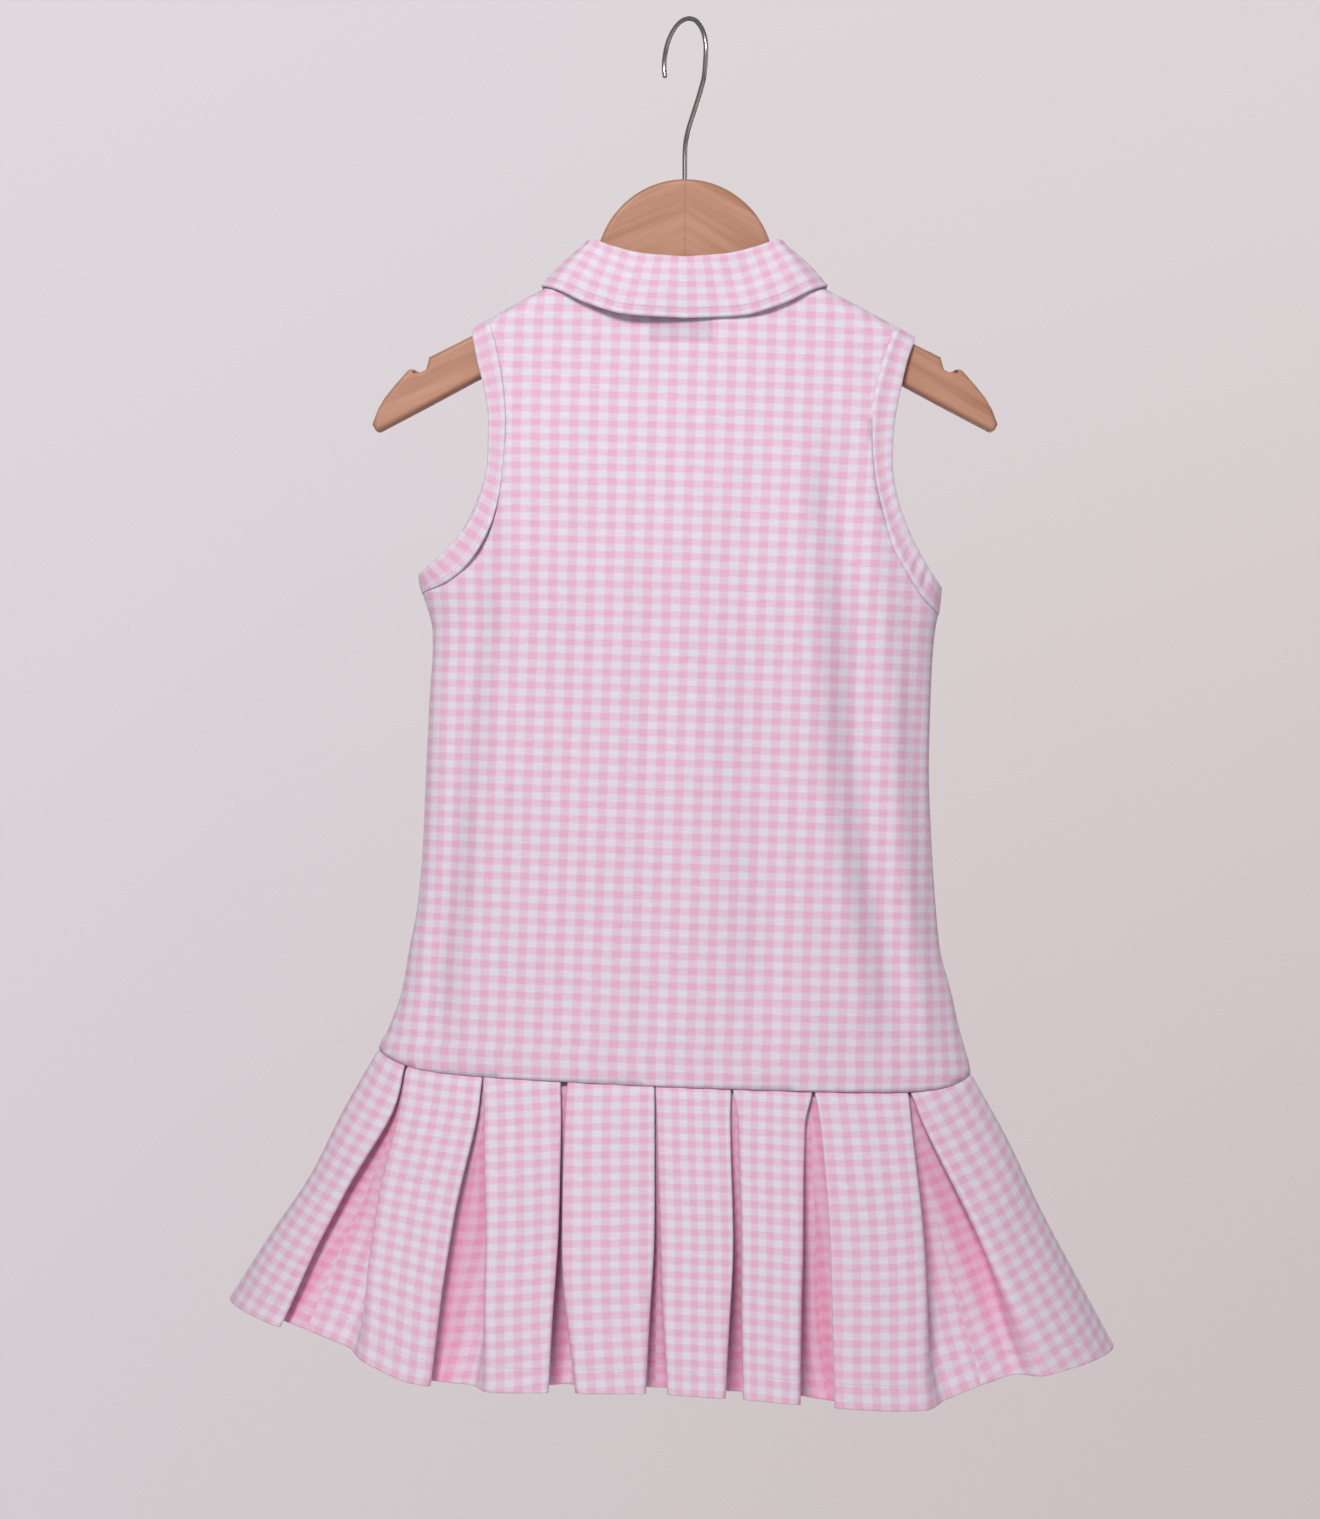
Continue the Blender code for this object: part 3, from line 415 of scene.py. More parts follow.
def gingham(name, label=None, pleated=False):
    """Gingham knit on the piece's own UV map, where one unit is one repeat of the checks."""
    look = bpy.data.materials.new(name)
    look.use_nodes = True
    tree = look.node_tree
    shader = tree.nodes["Principled BSDF"]
    shader.inputs["Roughness"].default_value = 0.88
    shader.inputs["Sheen Weight"].default_value = 0.12
    shader.inputs["Sheen Roughness"].default_value = 0.5
    shader.inputs["Specular IOR Level"].default_value = 0.2
    cloth = node(tree, "ShaderNodeUVMap", uv_map="cloth")
    # The yarns wander a little, so no check has a ruled edge.
    wander = node(tree, "ShaderNodeTexNoise")
    wander.inputs["Scale"].default_value = 2.3
    wander.inputs["Detail"].default_value = 3
    wire(tree, cloth, wander, "UV")
    offset = node(tree, "ShaderNodeVectorMath", operation="MULTIPLY_ADD")
    wire(tree, wander, offset, "Color", 0)
    offset.inputs[1].default_value = (0.10, 0.09, 0)
    wire(tree, cloth, offset, "UV", 2)
    uneven = node(tree, "ShaderNodeVectorMath", operation="SUBTRACT")
    wire(tree, offset, uneven)
    uneven.inputs[1].default_value = (0.05, 0.045, 0)
    parts = node(tree, "ShaderNodeSeparateXYZ")
    wire(tree, uneven, parts)
    bands = []
    for axis in ("X", "Y"):
        swing = node(tree, "ShaderNodeMath", operation="PINGPONG")
        swing.inputs[1].default_value = 0.5
        wire(tree, parts, swing, axis)
        band = node(tree, "ShaderNodeMapRange", interpolation_type="SMOOTHSTEP")
        band.inputs["From Min"].default_value = 0.335
        band.inputs["From Max"].default_value = 0.155
        wire(tree, swing, band)
        bands.append(band)
    both = node(tree, "ShaderNodeMath", operation="ADD")
    wire(tree, bands[0], both, 0, 0)
    wire(tree, bands[1], both, 0, 1)
    share = node(tree, "ShaderNodeMath", operation="MULTIPLY")
    share.inputs[1].default_value = 0.5
    wire(tree, both, share)
    checks = ramp(
        tree,
        [
            (0.0, CLOTH_WHITE),
            (0.5, CLOTH_HALF),
            (1.0, CLOTH_PINK),
        ],
    )
    wire(tree, share, checks)
    # Heathered yarn: fine streaks along the courses of the knit.
    stretch = node(tree, "ShaderNodeMapping")
    stretch.inputs["Scale"].default_value = (1.3, 24.0, 1.0)
    wire(tree, cloth, stretch, "UV")
    streaks = node(tree, "ShaderNodeTexNoise")
    streaks.inputs["Scale"].default_value = 1.0
    streaks.inputs["Detail"].default_value = 4
    wire(tree, stretch, streaks)
    streak_range = node(tree, "ShaderNodeMapRange")
    streak_range.inputs["From Min"].default_value = 0.3
    streak_range.inputs["From Max"].default_value = 0.7
    streak_range.inputs["To Min"].default_value = 0.90
    streak_range.inputs["To Max"].default_value = 1.06
    wire(tree, streaks, streak_range)
    toned = node(tree, "ShaderNodeVectorMath", operation="SCALE")
    wire(tree, checks, toned)
    wire(tree, streak_range, toned, 0, "Scale")
    colour = toned
    if pleated:
        # Painted shade: where a fold hangs over the cloth, its colour is multiplied by a deeper, darker
        # pink that stands in for shadow and for light bounced between the pink walls. The second map of
        # the skirt holds how much of this painted shade each point gets.
        painted_shade_map = node(tree, "ShaderNodeUVMap", uv_map="fold")
        painted_shade_amount = node(tree, "ShaderNodeSeparateXYZ")
        wire(tree, painted_shade_map, painted_shade_amount)
        painted_shade_colour = node(tree, "ShaderNodeVectorMath", operation="MULTIPLY")
        wire(tree, toned, painted_shade_colour)
        painted_shade_colour.inputs[1].default_value = PAINTED_FOLD_SHADE_TINT
        colour = node(tree, "ShaderNodeMix", data_type="RGBA")
        wire(tree, painted_shade_amount, colour, "X", 0)
        wire(tree, toned, colour, 0, 6)
        wire(tree, painted_shade_colour, colour, 0, 7)
    if label:
        # Painted shade: the cloth that lies over the label inside the neck is painted darker, standing
        # in for the label's shadow seen through the knit.
        left, right, low, high = label
        place = node(tree, "ShaderNodeTexCoord")
        spot = node(tree, "ShaderNodeSeparateXYZ")
        wire(tree, place, spot, "Object")
        covers = []
        for axis, at, grows in (("X", left, 1), ("X", right, -1), ("Z", low, 1), ("Z", high, -1)):
            edge = node(tree, "ShaderNodeMapRange", interpolation_type="SMOOTHSTEP")
            edge.inputs["From Min"].default_value = (at - grows * 0.9) * 0.001
            edge.inputs["From Max"].default_value = (at + grows * 0.9) * 0.001
            wire(tree, spot, edge, axis)
            covers.append(edge)
        facing = node(tree, "ShaderNodeMath", operation="LESS_THAN")
        facing.inputs[1].default_value = 0.0
        wire(tree, spot, facing, "Y")
        covers.append(facing)
        total = covers[0]
        for cover in covers[1:]:
            product = node(tree, "ShaderNodeMath", operation="MULTIPLY")
            wire(tree, total, product, 0, 0)
            wire(tree, cover, product, 0, 1)
            total = product
        painted_label_shade = node(tree, "ShaderNodeVectorMath", operation="MULTIPLY")
        wire(tree, toned, painted_label_shade)
        painted_label_shade.inputs[1].default_value = (0.86, 0.865, 0.885)
        shown = node(tree, "ShaderNodeMix", data_type="VECTOR")
        wire(tree, total, shown, 0, 0)
        wire(tree, toned, shown, 0, 4)
        wire(tree, painted_label_shade, shown, 0, 5)
        tree.links.new(shown.outputs[1], shader.inputs["Base Color"])
    elif pleated:
        tree.links.new(colour.outputs[2], shader.inputs["Base Color"])
    else:
        tree.links.new(colour.outputs[0], shader.inputs["Base Color"])
    # Jersey stitches: columns of small Vs, about 0.75 mm apart.
    fine = node(tree, "ShaderNodeSeparateXYZ")
    wire(tree, cloth, fine, "UV")
    columns = node(tree, "ShaderNodeMath", operation="MULTIPLY")
    columns.inputs[1].default_value = 14
    wire(tree, fine, columns, "X")
    column = node(tree, "ShaderNodeMath", operation="PINGPONG")
    column.inputs[1].default_value = 0.5
    wire(tree, columns, column)
    course = node(tree, "ShaderNodeMath", operation="MULTIPLY_ADD")
    course.inputs[1].default_value = 11
    wire(tree, fine, course, "Y", 0)
    wire(tree, column, course, 0, 2)
    turned = node(tree, "ShaderNodeMath", operation="MULTIPLY")
    turned.inputs[1].default_value = 2 * math.pi
    wire(tree, course, turned)
    loops = node(tree, "ShaderNodeMath", operation="SINE")
    wire(tree, turned, loops)
    loop_height = node(tree, "ShaderNodeMath", operation="MULTIPLY_ADD")
    loop_height.inputs[1].default_value = 0.25
    wire(tree, loops, loop_height, 0, 0)
    wire(tree, column, loop_height, 0, 2)
    knit = node(tree, "ShaderNodeBump")
    knit.inputs["Strength"].default_value = 0.35
    knit.inputs["Distance"].default_value = 0.00025
    wire(tree, loop_height, knit, 0, "Height")
    tree.links.new(knit.outputs[0], shader.inputs["Normal"])
    return look


def arm_edge(side_x, share, outer, front):
    """Angle and height on the armhole seam or on the outer edge of its band."""
    rows = ARM_LEFT if side_x < 0 else ARM_RIGHT
    x = between(rows, share, 2 if outer else 1)
    if outer and front:
        x += side_x * between(rows, share, 3)
    top = between(RIDGE, rows[0][2 if outer else 1], 1)
    z = mix(top, ARM_LOW[side_x][1 if outer else 0], share)
    if share >= 1:
        return side_x * 90.0, z
    return turn_at(x, z), z


def shoulder_line(side_x, below, count):
    """Points from the shoulder tip to the neck, at a depth under the ridge."""
    tip = (ARM_LEFT if side_x < 0 else ARM_RIGHT)[0][1]
    end = (NECK[0] if side_x < 0 else NECK[-1])[0]
    points = []
    for k in range(count + 1):
        x = mix(tip, end, k / count)
        z = between(RIDGE, x, 1) - below
        points.append((turn_at(x, z), z))
    return points


def even_shares(count):
    """Shares down the armhole, closer together towards both its ends."""
    return [(1 - math.cos(math.pi * k / count)) / 2 for k in range(count + 1)]


def panel_outline(side):
    """Cut line of a bodice panel, as pairs of angle and height."""
    neck = []
    for k in range(41):
        x = NECK[0][0] * math.cos(math.pi * k / 40)
        z = between(NECK, x, 1 if side < 0 else 2)
        neck.append((turn_at(x, z), z))
    line = shoulder_line(-1, 0, 18)[:-1] + neck + shoulder_line(1, 0, 18)[-2::-1]
    shares = even_shares(56)
    line += [arm_edge(1, share, False, False) for share in shares[1:]]
    low = waist_height(90)
    line += [(90.0, mix(ARM_LOW[1][0], low, k / 60)) for k in range(1, 60)]
    line += [(90 - 1.5 * k, waist_height(90 - 1.5 * k)) for k in range(121)]
    low = waist_height(-90)
    line += [(-90.0, mix(low, ARM_LOW[-1][0], k / 60)) for k in range(1, 60)]
    line += [arm_edge(-1, share, False, False) for share in reversed(shares[1:])]
    return line


def near_line(line, point):
    """Whether a point lies within a closed line, and how far it is from it."""
    x, y = point
    within, nearest = False, 1e9
    for (ax, ay), (bx, by) in zip(line, line[1:] + line[:1]):
        if (ay > y) != (by > y) and x < ax + (y - ay) * (bx - ax) / (by - ay):
            within = not within
        if abs(ay - y) < 12 or abs(by - y) < 12:
            t = ((x - ax) * (bx - ax) + (y - ay) * (by - ay)) / max(1e-9, (bx - ax) ** 2 + (by - ay) ** 2)
            t = max(0.0, min(1.0, t))
            nearest = min(nearest, math.hypot(x - mix(ax, bx, t), y - mix(ay, by, t)))
    return within, nearest


def round_lengths(side):
    """Arc length from the centre line to each angle, by height, over the plain form."""
    table = []
    for z in range(-600, -100, 10):
        far, last = {0: 0.0}, body_point(0, z, side, plain=True)
        for way in (1, -1):
            total, before = 0.0, last
            for k in range(1, 46):
                here = body_point(way * k * 2, z, side, plain=True)
                total += math.hypot(here.x - before.x, here.y - before.y)
                far[way * k * 2] = way * total
                before = here
        table.append((z, far, last.x))
    return table


def checks_at(lengths, turn, z, x):
    """Place in the checks, in repeats, of a point of the bodice."""
    i = max(0, min(len(lengths) - 2, int((z + 600) // 10)))
    t = max(0.0, min(1.0, (z - lengths[i][0]) / 10))
    k = max(-45, min(44, math.floor(turn / 2)))
    s = turn / 2 - k
    rows = [mix(far[k * 2], far[k * 2 + 2], s) + middle for _, far, middle in lengths[i : i + 2]]
    across = mix(rows[0], rows[1], t)
    centre_line = 0.2 + GRAIN_LEAN * (z + 310)
    wide = REPEAT_ACROSS * (1 + 0.035 * ease((z + 330) / 140))
    down = z + 431.5 + ROW_LEAN * x
    return (across - centre_line) / wide, down / REPEAT_DOWN


def cut_panel(name, side, look, node_name, step=3.3):
    """A bodice panel cut to its outline: the outline and a grid inside it, filled with triangles."""
    wide = 1.9
    line = [(turn * wide, z) for turn, z in panel_outline(side)]
    spots = list(line)
    for side_x in (-1, 1):
        for below in (0.25, 0.9, 2.0, 3.6, 5.8, 8.4, 11.5):
            for turn, z in shoulder_line(side_x, below, 18)[1:-1]:
                spots.append((turn * wide, z))
    low = min(z for _, z in line)
    for j in range(int(-low - 100) // 3):
        z = low + j * step
        for i in range(-53, 54):
            turn = i * step / wide
            within, nearest = near_line(line, (turn * wide, z))
            if within and nearest > 1.3:
                x = body_point(turn, z, side, plain=True).x
                if between(RIDGE, x, 1) - z > 13 or abs(x) < 56:
                    spots.append((turn * wide, z))
    edges = [(k, (k + 1) % len(line)) for k in range(len(line))]
    flat = delaunay_2d_cdt([Vector(spot) for spot in spots], edges, [], 1, 1e-5)
    lengths = round_lengths(side)
    bm = bmesh.new()
    map_layer = bm.loops.layers.uv.new("cloth")
    verts, places = [], []
    for spot in flat[0]:
        turn, z = spot.x / wide, spot.y
        here = body_point(turn, z, side)
        verts.append(bm.verts.new(here * 0.001))
        places.append(checks_at(lengths, turn, z, here.x))
    bm.verts.index_update()
    for corners in flat[2]:
        face = bm.faces.new([verts[k] for k in corners])
        for loop in face.loops:
            loop[map_layer].uv = places[loop.vert.index]
    bmesh.ops.recalc_face_normals(bm, faces=bm.faces)
    if sum(face.normal.y * side for face in bm.faces) < 0:
        bmesh.ops.reverse_faces(bm, faces=bm.faces)
    area = sum(face.calc_area() for face in bm.faces)
    made = add_piece(name, bm, [look])
    thicken(made, BODY_CLOTH)
    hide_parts(node_name)
    return made, area


# The back cloth carries a painted shade over the neck label.
back_cloth = gingham("gingham knit with painted label shade, back", label=(-20, 15, -178.2, -150))
back_bodice, back_area = cut_panel("back_bodice_cloth", -1, back_cloth, "back_panel")


THREAD_COLOUR = (0.80, 0.66, 0.74)
thread = bpy.data.materials.new("sewing thread")
thread.use_nodes = True
shader = thread.node_tree.nodes["Principled BSDF"]
shader.inputs["Roughness"].default_value = 0.55
shader.inputs["Sheen Weight"].default_value = 0.2
strands = node(thread.node_tree, "ShaderNodeTexNoise")
strands.inputs["Scale"].default_value = 900
fibre_tone = ramp(thread.node_tree, [(0.3, [c * 0.88 for c in THREAD_COLOUR]), (0.7, THREAD_COLOUR)])
where = node(thread.node_tree, "ShaderNodeTexCoord")
wire(thread.node_tree, where, strands, "Object")
wire(thread.node_tree, strands, fibre_tone)
wire(thread.node_tree, fibre_tone, shader)


def sew(name, lines, cloth, long=2.4, gap=0.7, thick=0.36):
    """Lockstitches along lines of (point, outward way) in mm, each a small round-ended stitch."""
    bm = bmesh.new()
    for line in lines:
        far = [0.0]
        for (a, _), (b, _) in zip(line, line[1:]):
            far.append(far[-1] + (b - a).length)
        count = int(far[-1] // (long + gap))
        if not count:
            continue
        pitch = far[-1] / count
        for n in range(count):
            ends = []
            for at in (n * pitch + gap / 2, n * pitch + gap / 2 + pitch - gap):
                k = min(len(far) - 2, max(i for i in range(len(far)) if far[i] <= at + 1e-9))
                t = (at - far[k]) / max(1e-9, far[k + 1] - far[k])
                ends.append((line[k][0].lerp(line[k + 1][0], t), line[k][1].lerp(line[k + 1][1], t)))
            (a, out_a), (b, out_b) = ends
            ahead = (b - a).normalized()
            out = (out_a + out_b).normalized()
            beside = ahead.cross(out).normalized()
            rings = []
            for share, size, lift in ((0.0, 0.35, -0.2), (0.14, 0.95, 0.12), (0.86, 0.95, 0.12), (1.0, 0.35, -0.2)):
                centre = a.lerp(b, share) + out * (lift * thick + 0.05)
                ring = []
                for k in range(6):
                    angle = math.tau * k / 6
                    reach = thick / 2 * size
                    spot = centre + beside * math.cos(angle) * reach + out * math.sin(angle) * reach
                    ring.append(bm.verts.new(spot * 0.001))
                rings.append(ring)
            for upper, lower in zip(rings, rings[1:]):
                for k in range(6):
                    bm.faces.new((upper[k], upper[(k + 1) % 6], lower[(k + 1) % 6], lower[k]))
            bm.faces.new(rings[0][::-1])
            bm.faces.new(rings[-1])
    bmesh.ops.recalc_face_normals(bm, faces=bm.faces)
    made = add_piece(name, bm, [thread])
    return made


def over_body(turn, z, side, out):
    """Point over the bodice moved out from its middle surface, with the outward way there."""
    here = body_point(turn, z, side)
    round_way = body_point(turn + 0.4, z, side) - body_point(turn - 0.4, z, side)
    down = body_point(turn, z - 0.4, side) - body_point(turn, z + 0.4, side)
    way = round_way.cross(down).normalized()
    if way.y * side < 0:
        way = -way
    return here + way * out, way


# Front of the bodice: the second cut piece, joined to the back along the shoulders and sides. It
# isn't seen in the photograph, so it follows the back, with a lower neck and the placket on it.

front_cloth = gingham("gingham knit, front")
front_bodice, front_area = cut_panel("front_bodice_cloth", 1, front_cloth, "front_panel")


# Armhole bands: a doubled strip of the same knit sewn round each armhole and turned outwards, with
# a raised seam at its inner side. The right band is puckered low down.

BAND_CLOTH = 1.7
BAND_ACROSS = (-0.09, 0.0, 0.10, 0.20, 0.30, 0.45, 0.62, 0.80, 0.92, 0.975, 1.0)
BAND_LIFT = (0.30, 0.80, 0.95, 0.70, 0.30, 0.35, 0.42, 0.38, 0.22, 0.0, -0.25)


def band_station(side_x, share, side):
    """Points across a band, from its seam to its open edge, with the outward way at each."""
    seam = arm_edge(side_x, share, False, side > 0)
    edge = arm_edge(side_x, share, True, side > 0)
    row = []
    for across, lift in zip(BAND_ACROSS, BAND_LIFT):
        turn, z = mix(seam[0], edge[0], across), mix(seam[1], edge[1], across)
        here = body_point(turn, z, side, 0.0, plain=True)
        middle = math.sin(math.pi * max(0.0, min(1.0, across)))
        pucker = 0.0
        if side_x > 0:
            strength = ease((share - 0.55) / 0.15) * ease((1.0 - share) / 0.06)
            pucker = 0.75 * strength * middle * math.sin(share * 175 / 4.6 * math.pi + across * 1.3)
        else:
            pucker = 0.10 * middle * math.sin(share * 150 / 4.7 * math.pi)
        calm = ease(share / 0.04) * ease((1 - share) / 0.04)
        out = (lift + pucker) * calm
        row.append((here, out))
    return row


def band(side_x, name, node_name):
    shares = even_shares(70)
    stations = [(share, -1) for share in reversed(shares)] + [(share, 1) for share in shares[1:-1]]
    rows = [band_station(side_x, share, side) for share, side in stations]
    count = len(rows)
    moved = []
    for k, row in enumerate(rows):
        before, after = rows[k - 1], rows[(k + 1) % count]
        line = []
        for i, (here, out) in enumerate(row):
            run = after[i][0] - before[i][0]
            over = row[min(i + 1, len(row) - 1)][0] - row[max(i - 1, 0)][0]
            way = run.cross(over).normalized()
            centre = Vector((here.x * 0.9, 0, here.z))
            away = Vector((here.x, here.y * 6, 0.0)) - Vector((centre.x * 0.9, 0, 0))
            if way.dot(away) < 0:
                way = -way
            line.append((here + way * out, way))
        moved.append(line)
    far = [0.0]
    for k in range(count):
        far.append(far[-1] + (moved[(k + 1) % count][5][0] - moved[k][5][0]).length)
    bm = bmesh.new()
    map_layer = bm.loops.layers.uv.new("cloth")
    grid = [[bm.verts.new(point * 0.001) for point, _ in line] for line in moved]
    wide = [0.0]
    for a, b in zip(moved[count // 4], moved[count // 4][1:]):
        wide.append(wide[-1] + (b[0] - a[0]).length)
    for k in range(count):
        upper, lower = grid[k], grid[(k + 1) % count]
        for i in range(len(upper) - 1):
            face = bm.faces.new((upper[i], upper[i + 1], lower[i + 1], lower[i]))
            corners = ((i, k), (i + 1, k), (i + 1, k + 1), (i, k + 1))
            for loop, (column, station) in zip(face.loops, corners):
                loop[map_layer].uv = (0.5 + wide[column] / REPEAT_ACROSS, far[station] / REPEAT_DOWN)
    bmesh.ops.recalc_face_normals(bm, faces=bm.faces)
    area = sum(face.calc_area() for face in bm.faces)
    made = add_piece(name, bm, [band_cloth])
    thicken(made, BAND_CLOTH)
    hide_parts(node_name)
    line = [(row[2][0] + row[2][1] * (BAND_CLOTH / 2), row[2][1]) for row in moved]
    stitches = sew(name.replace("cloth", "stitches"), [line + line[:1]], made)
    return made


band_cloth = gingham("gingham knit, bands")
left_band = band(-1, "left_band_cloth", "armhole_band_left")
right_band = band(1, "right_band_cloth", "armhole_band_right")


# Skirt: two half rings of the same knit, pleated into the low waist seam. Each fold is pressed at
# the waist and opens towards the hem, which is turned up and stitched.

SKIRT_CLOTH = 0.8
FOLD_RADIUS = 0.95
FOLD_SHADE = 11.0
# Form of the skirt. Columns: share of the way down, left side x and z, right side x and z, depth.
SKIRT = [
    (0.00, -167.8, -564.3, 156.5, -577.5, 48.0),
    (0.25, -187.9, -599.0, 177.0, -614.5, 58.0),
    (0.50, -205.8, -634.5, 195.3, -653.0, 68.0),
    (0.75, -228.2, -667.4, 215.3, -690.5, 78.0),
    (1.00, -249.7, -701.3, 235.4, -727.7, 88.0),
]
HEM_DROP = 18.8
# How far the worn hem falls below its even line. Columns: angle round the half, back, front.
HEM_DIP = [
    (-90, 0.0, 0.0),
    (-60, 0.0, 0.5),
    (-44, 4.0, 2.0),
    (-34, 11.0, 2.5),
    (-24, 9.5, 1.5),
    (-14, 6.0, 1.0),
    (0, 3.0, 1.5),
    (10, 4.0, 2.5),
    (20, 7.0, 3.0),
    (33, 10.0, 2.0),
    (45, 3.5, 1.0),
    (60, 0.0, 0.5),
    (90, 0.0, 0.0),
]
# Pleats. Columns: left fold at 0, 0.12, 0.5 and 1 of the way down, right fold at the same places
# (mm round from the centre), then for the left and the right fold: how far the cloth tucks
# behind at the waist and at the hem, and how far it is turned at the hem in degrees.
PLEAT_ROWS = (0.0, 0.12, 0.5, 1.0)
BACK_PLEATS = [
    (-152.0, -155.0, -187.0, -218.5, -149.6, -151.5, -164.5, -170.0, 8, 12, 163, 8, 8, 46),
    (-105.0, -107.0, -120.5, -129.0, -104.0, -102.8, -101.8, -100.5, 9, 13, 160, 9, 8, 56),
    (-62.0, -61.6, -62.9, -65.6, -57.5, -58.5, -60.2, -51.0, 9, 15, 156, 9, 14, 84),
    (-11.4, -11.4, -11.9, -14.4, -10.2, -9.4, -7.8, -2.4, 9, 14, 148, 9, 14, 140),
    (29.6, 29.0, 29.8, 27.4, 31.2, 34.0, 35.0, 37.2, 8, 14, 140, 9, 14, 130),
    (73.8, 69.2, 67.2, 67.0, 75.5, 78.4, 82.6, 85.6, 9, 15, 96, 9, 15, 156),
    (127.8, 129.0, 134.8, 139.5, 129.8, 137.0, 167.0, 201.0, 8, 9, 46, 8, 8, 74),
]
FRONT_PLEATS = [
    (-150.6, -152.0, -176.0, -207.0, -149.4, -149.4, -162.0, -180.0, 8, 14, 140, 8, 13, 60),
    (-103.6, -105.0, -118.0, -136.0, -102.4, -101.8, -106.0, -114.0, 9, 15, 150, 9, 14, 84),
    (-53.6, -54.2, -60.0, -69.0, -52.4, -51.8, -53.0, -54.0, 9, 15, 152, 9, 14, 112),
    (-0.6, -1.2, -4.0, -8.0, 0.6, 1.2, 4.0, 7.0, 9, 14, 146, 9, 14, 142),
    (52.4, 51.6, 52.0, 53.0, 53.6, 54.4, 61.0, 70.0, 9, 14, 108, 9, 15, 152),
    (102.4, 101.8, 105.0, 112.0, 103.6, 105.0, 118.0, 134.0, 9, 14, 82, 9, 15, 150),
    (149.4, 149.4, 160.0, 176.0, 150.6, 152.0, 176.0, 204.0, 8, 13, 60, 8, 14, 142),
]
SKIRT_LENGTH = 160.0
HEM_TURNING = 12.0
SKIRT_REPEAT_DOWN = 7.5
# How the checks lie on each face between two pleats, from left to right. Columns: size of a check
# at the left and at the right end of the face, how much the rows rise to the right, and where the
# checks begin across and down, in repeats.
BACK_FACES = [
    (1.14, 1.14, -0.05, 0.0, 0.1),
    (0.95, 0.90, 0.0, 0.0, 0.1),
    (0.95, 0.93, 0.13, 0.0, 0.1),
    (0.97, 0.97, 0.06, 0.0, 0.1),
    (0.80, 0.80, 0.01, 0.0, 0.1),
    (0.79, 0.84, -0.04, 0.0, 0.1),
    (0.97, 0.97, 0.01, 0.0, 0.1),
    (1.15, 1.12, 0.23, 0.0, 0.1),
]
FRONT_FACES = [(1.0, 1.0, 0.0, 0.13 * n, 0.1) for n in range(8)]
# How far each face of the back lies deeper at its right end than at its left one, at the hem.
BACK_TILTS = (0.0, 2.0, 4.0, 4.0, -2.0, -3.0, 1.0, 2.5)


def skirt_curve(share, side):
    """Points of the half section at a share down, with the distance round from its centre."""
    left, right = between(SKIRT, share, 1), between(SKIRT, share, 3)
    left_z, right_z = between(SKIRT, share, 2), between(SKIRT, share, 4)
    depth = between(SKIRT, share, 5)
    points = []
    for k in range(-90, 91):
        s, c = math.sin(math.radians(k)), max(0.0, math.cos(math.radians(k)))
        x = mix(left, right, (s + 1) / 2)
        flat = mix(SKIRT[0][2], SKIRT[0][4], (s + 1) / 2)
        z = mix(left_z, right_z, (s + 1) / 2)
        z += (waist_height(k) - flat) * (1 - share) - HEM_DROP * share * (1 - abs(s) ** 3)
        z -= between(HEM_DIP, k, 1 if side < 0 else 2) * share**2
        points.append(Vector((x, side * (0.05 + depth * c), z)))
    far = [0.0]
    for a, b in zip(points, points[1:]):
        far.append(far[-1] + math.hypot(b.x - a.x, b.y - a.y))
    return points, [d - far[90] for d in far]


def skirt_point(curve, along, inward, side):
    """Point at a distance round the curve, moved in from it."""
    points, far = curve
    along = max(far[0], min(far[-1], along))
    i = max(k for k in range(len(far) - 1) if far[k] <= along)
    t = (along - far[i]) / (far[i + 1] - far[i])
    here = points[i].lerp(points[i + 1], t)

    def way(k):
        d = points[min(k + 1, len(points) - 1)] - points[max(k - 1, 0)]
        return Vector((d.x, d.y, 0))

    step = way(i).lerp(way(i + 1), t).normalized()
    return here + Vector((step.y, -step.x, 0)) * side * inward


def fold_path(at, tuck, turned, way):
    """Section of one fold, from the face to the underlay: pairs of distance round and depth."""
    radius = FOLD_RADIUS + 0.05 * (180 - turned) + 0.10 * max(0.0, 90 - turned)
    angle = math.radians(turned)
    bend = [k / 6 for k in range(7)]
    points = [(radius * math.sin(angle * k), radius * (1 - math.cos(angle * k))) for k in bend]
    furthest = max(point[0] for point in points)
    for share in (0.33, 0.67):
        p, q = points[6]
        points.append((p + tuck * share * math.cos(angle), q + tuck * share * math.sin(angle)))
    p, q = points[6]
    p, q = p + tuck * math.cos(angle), q + tuck * math.sin(angle)
    for k in bend:
        a = angle * (1 - k)
        points.append((p + radius * (math.sin(angle) - math.sin(a)), q + radius * (math.cos(a) - math.cos(angle))))
    return [(at + way * (p - furthest), q) for p, q in points]


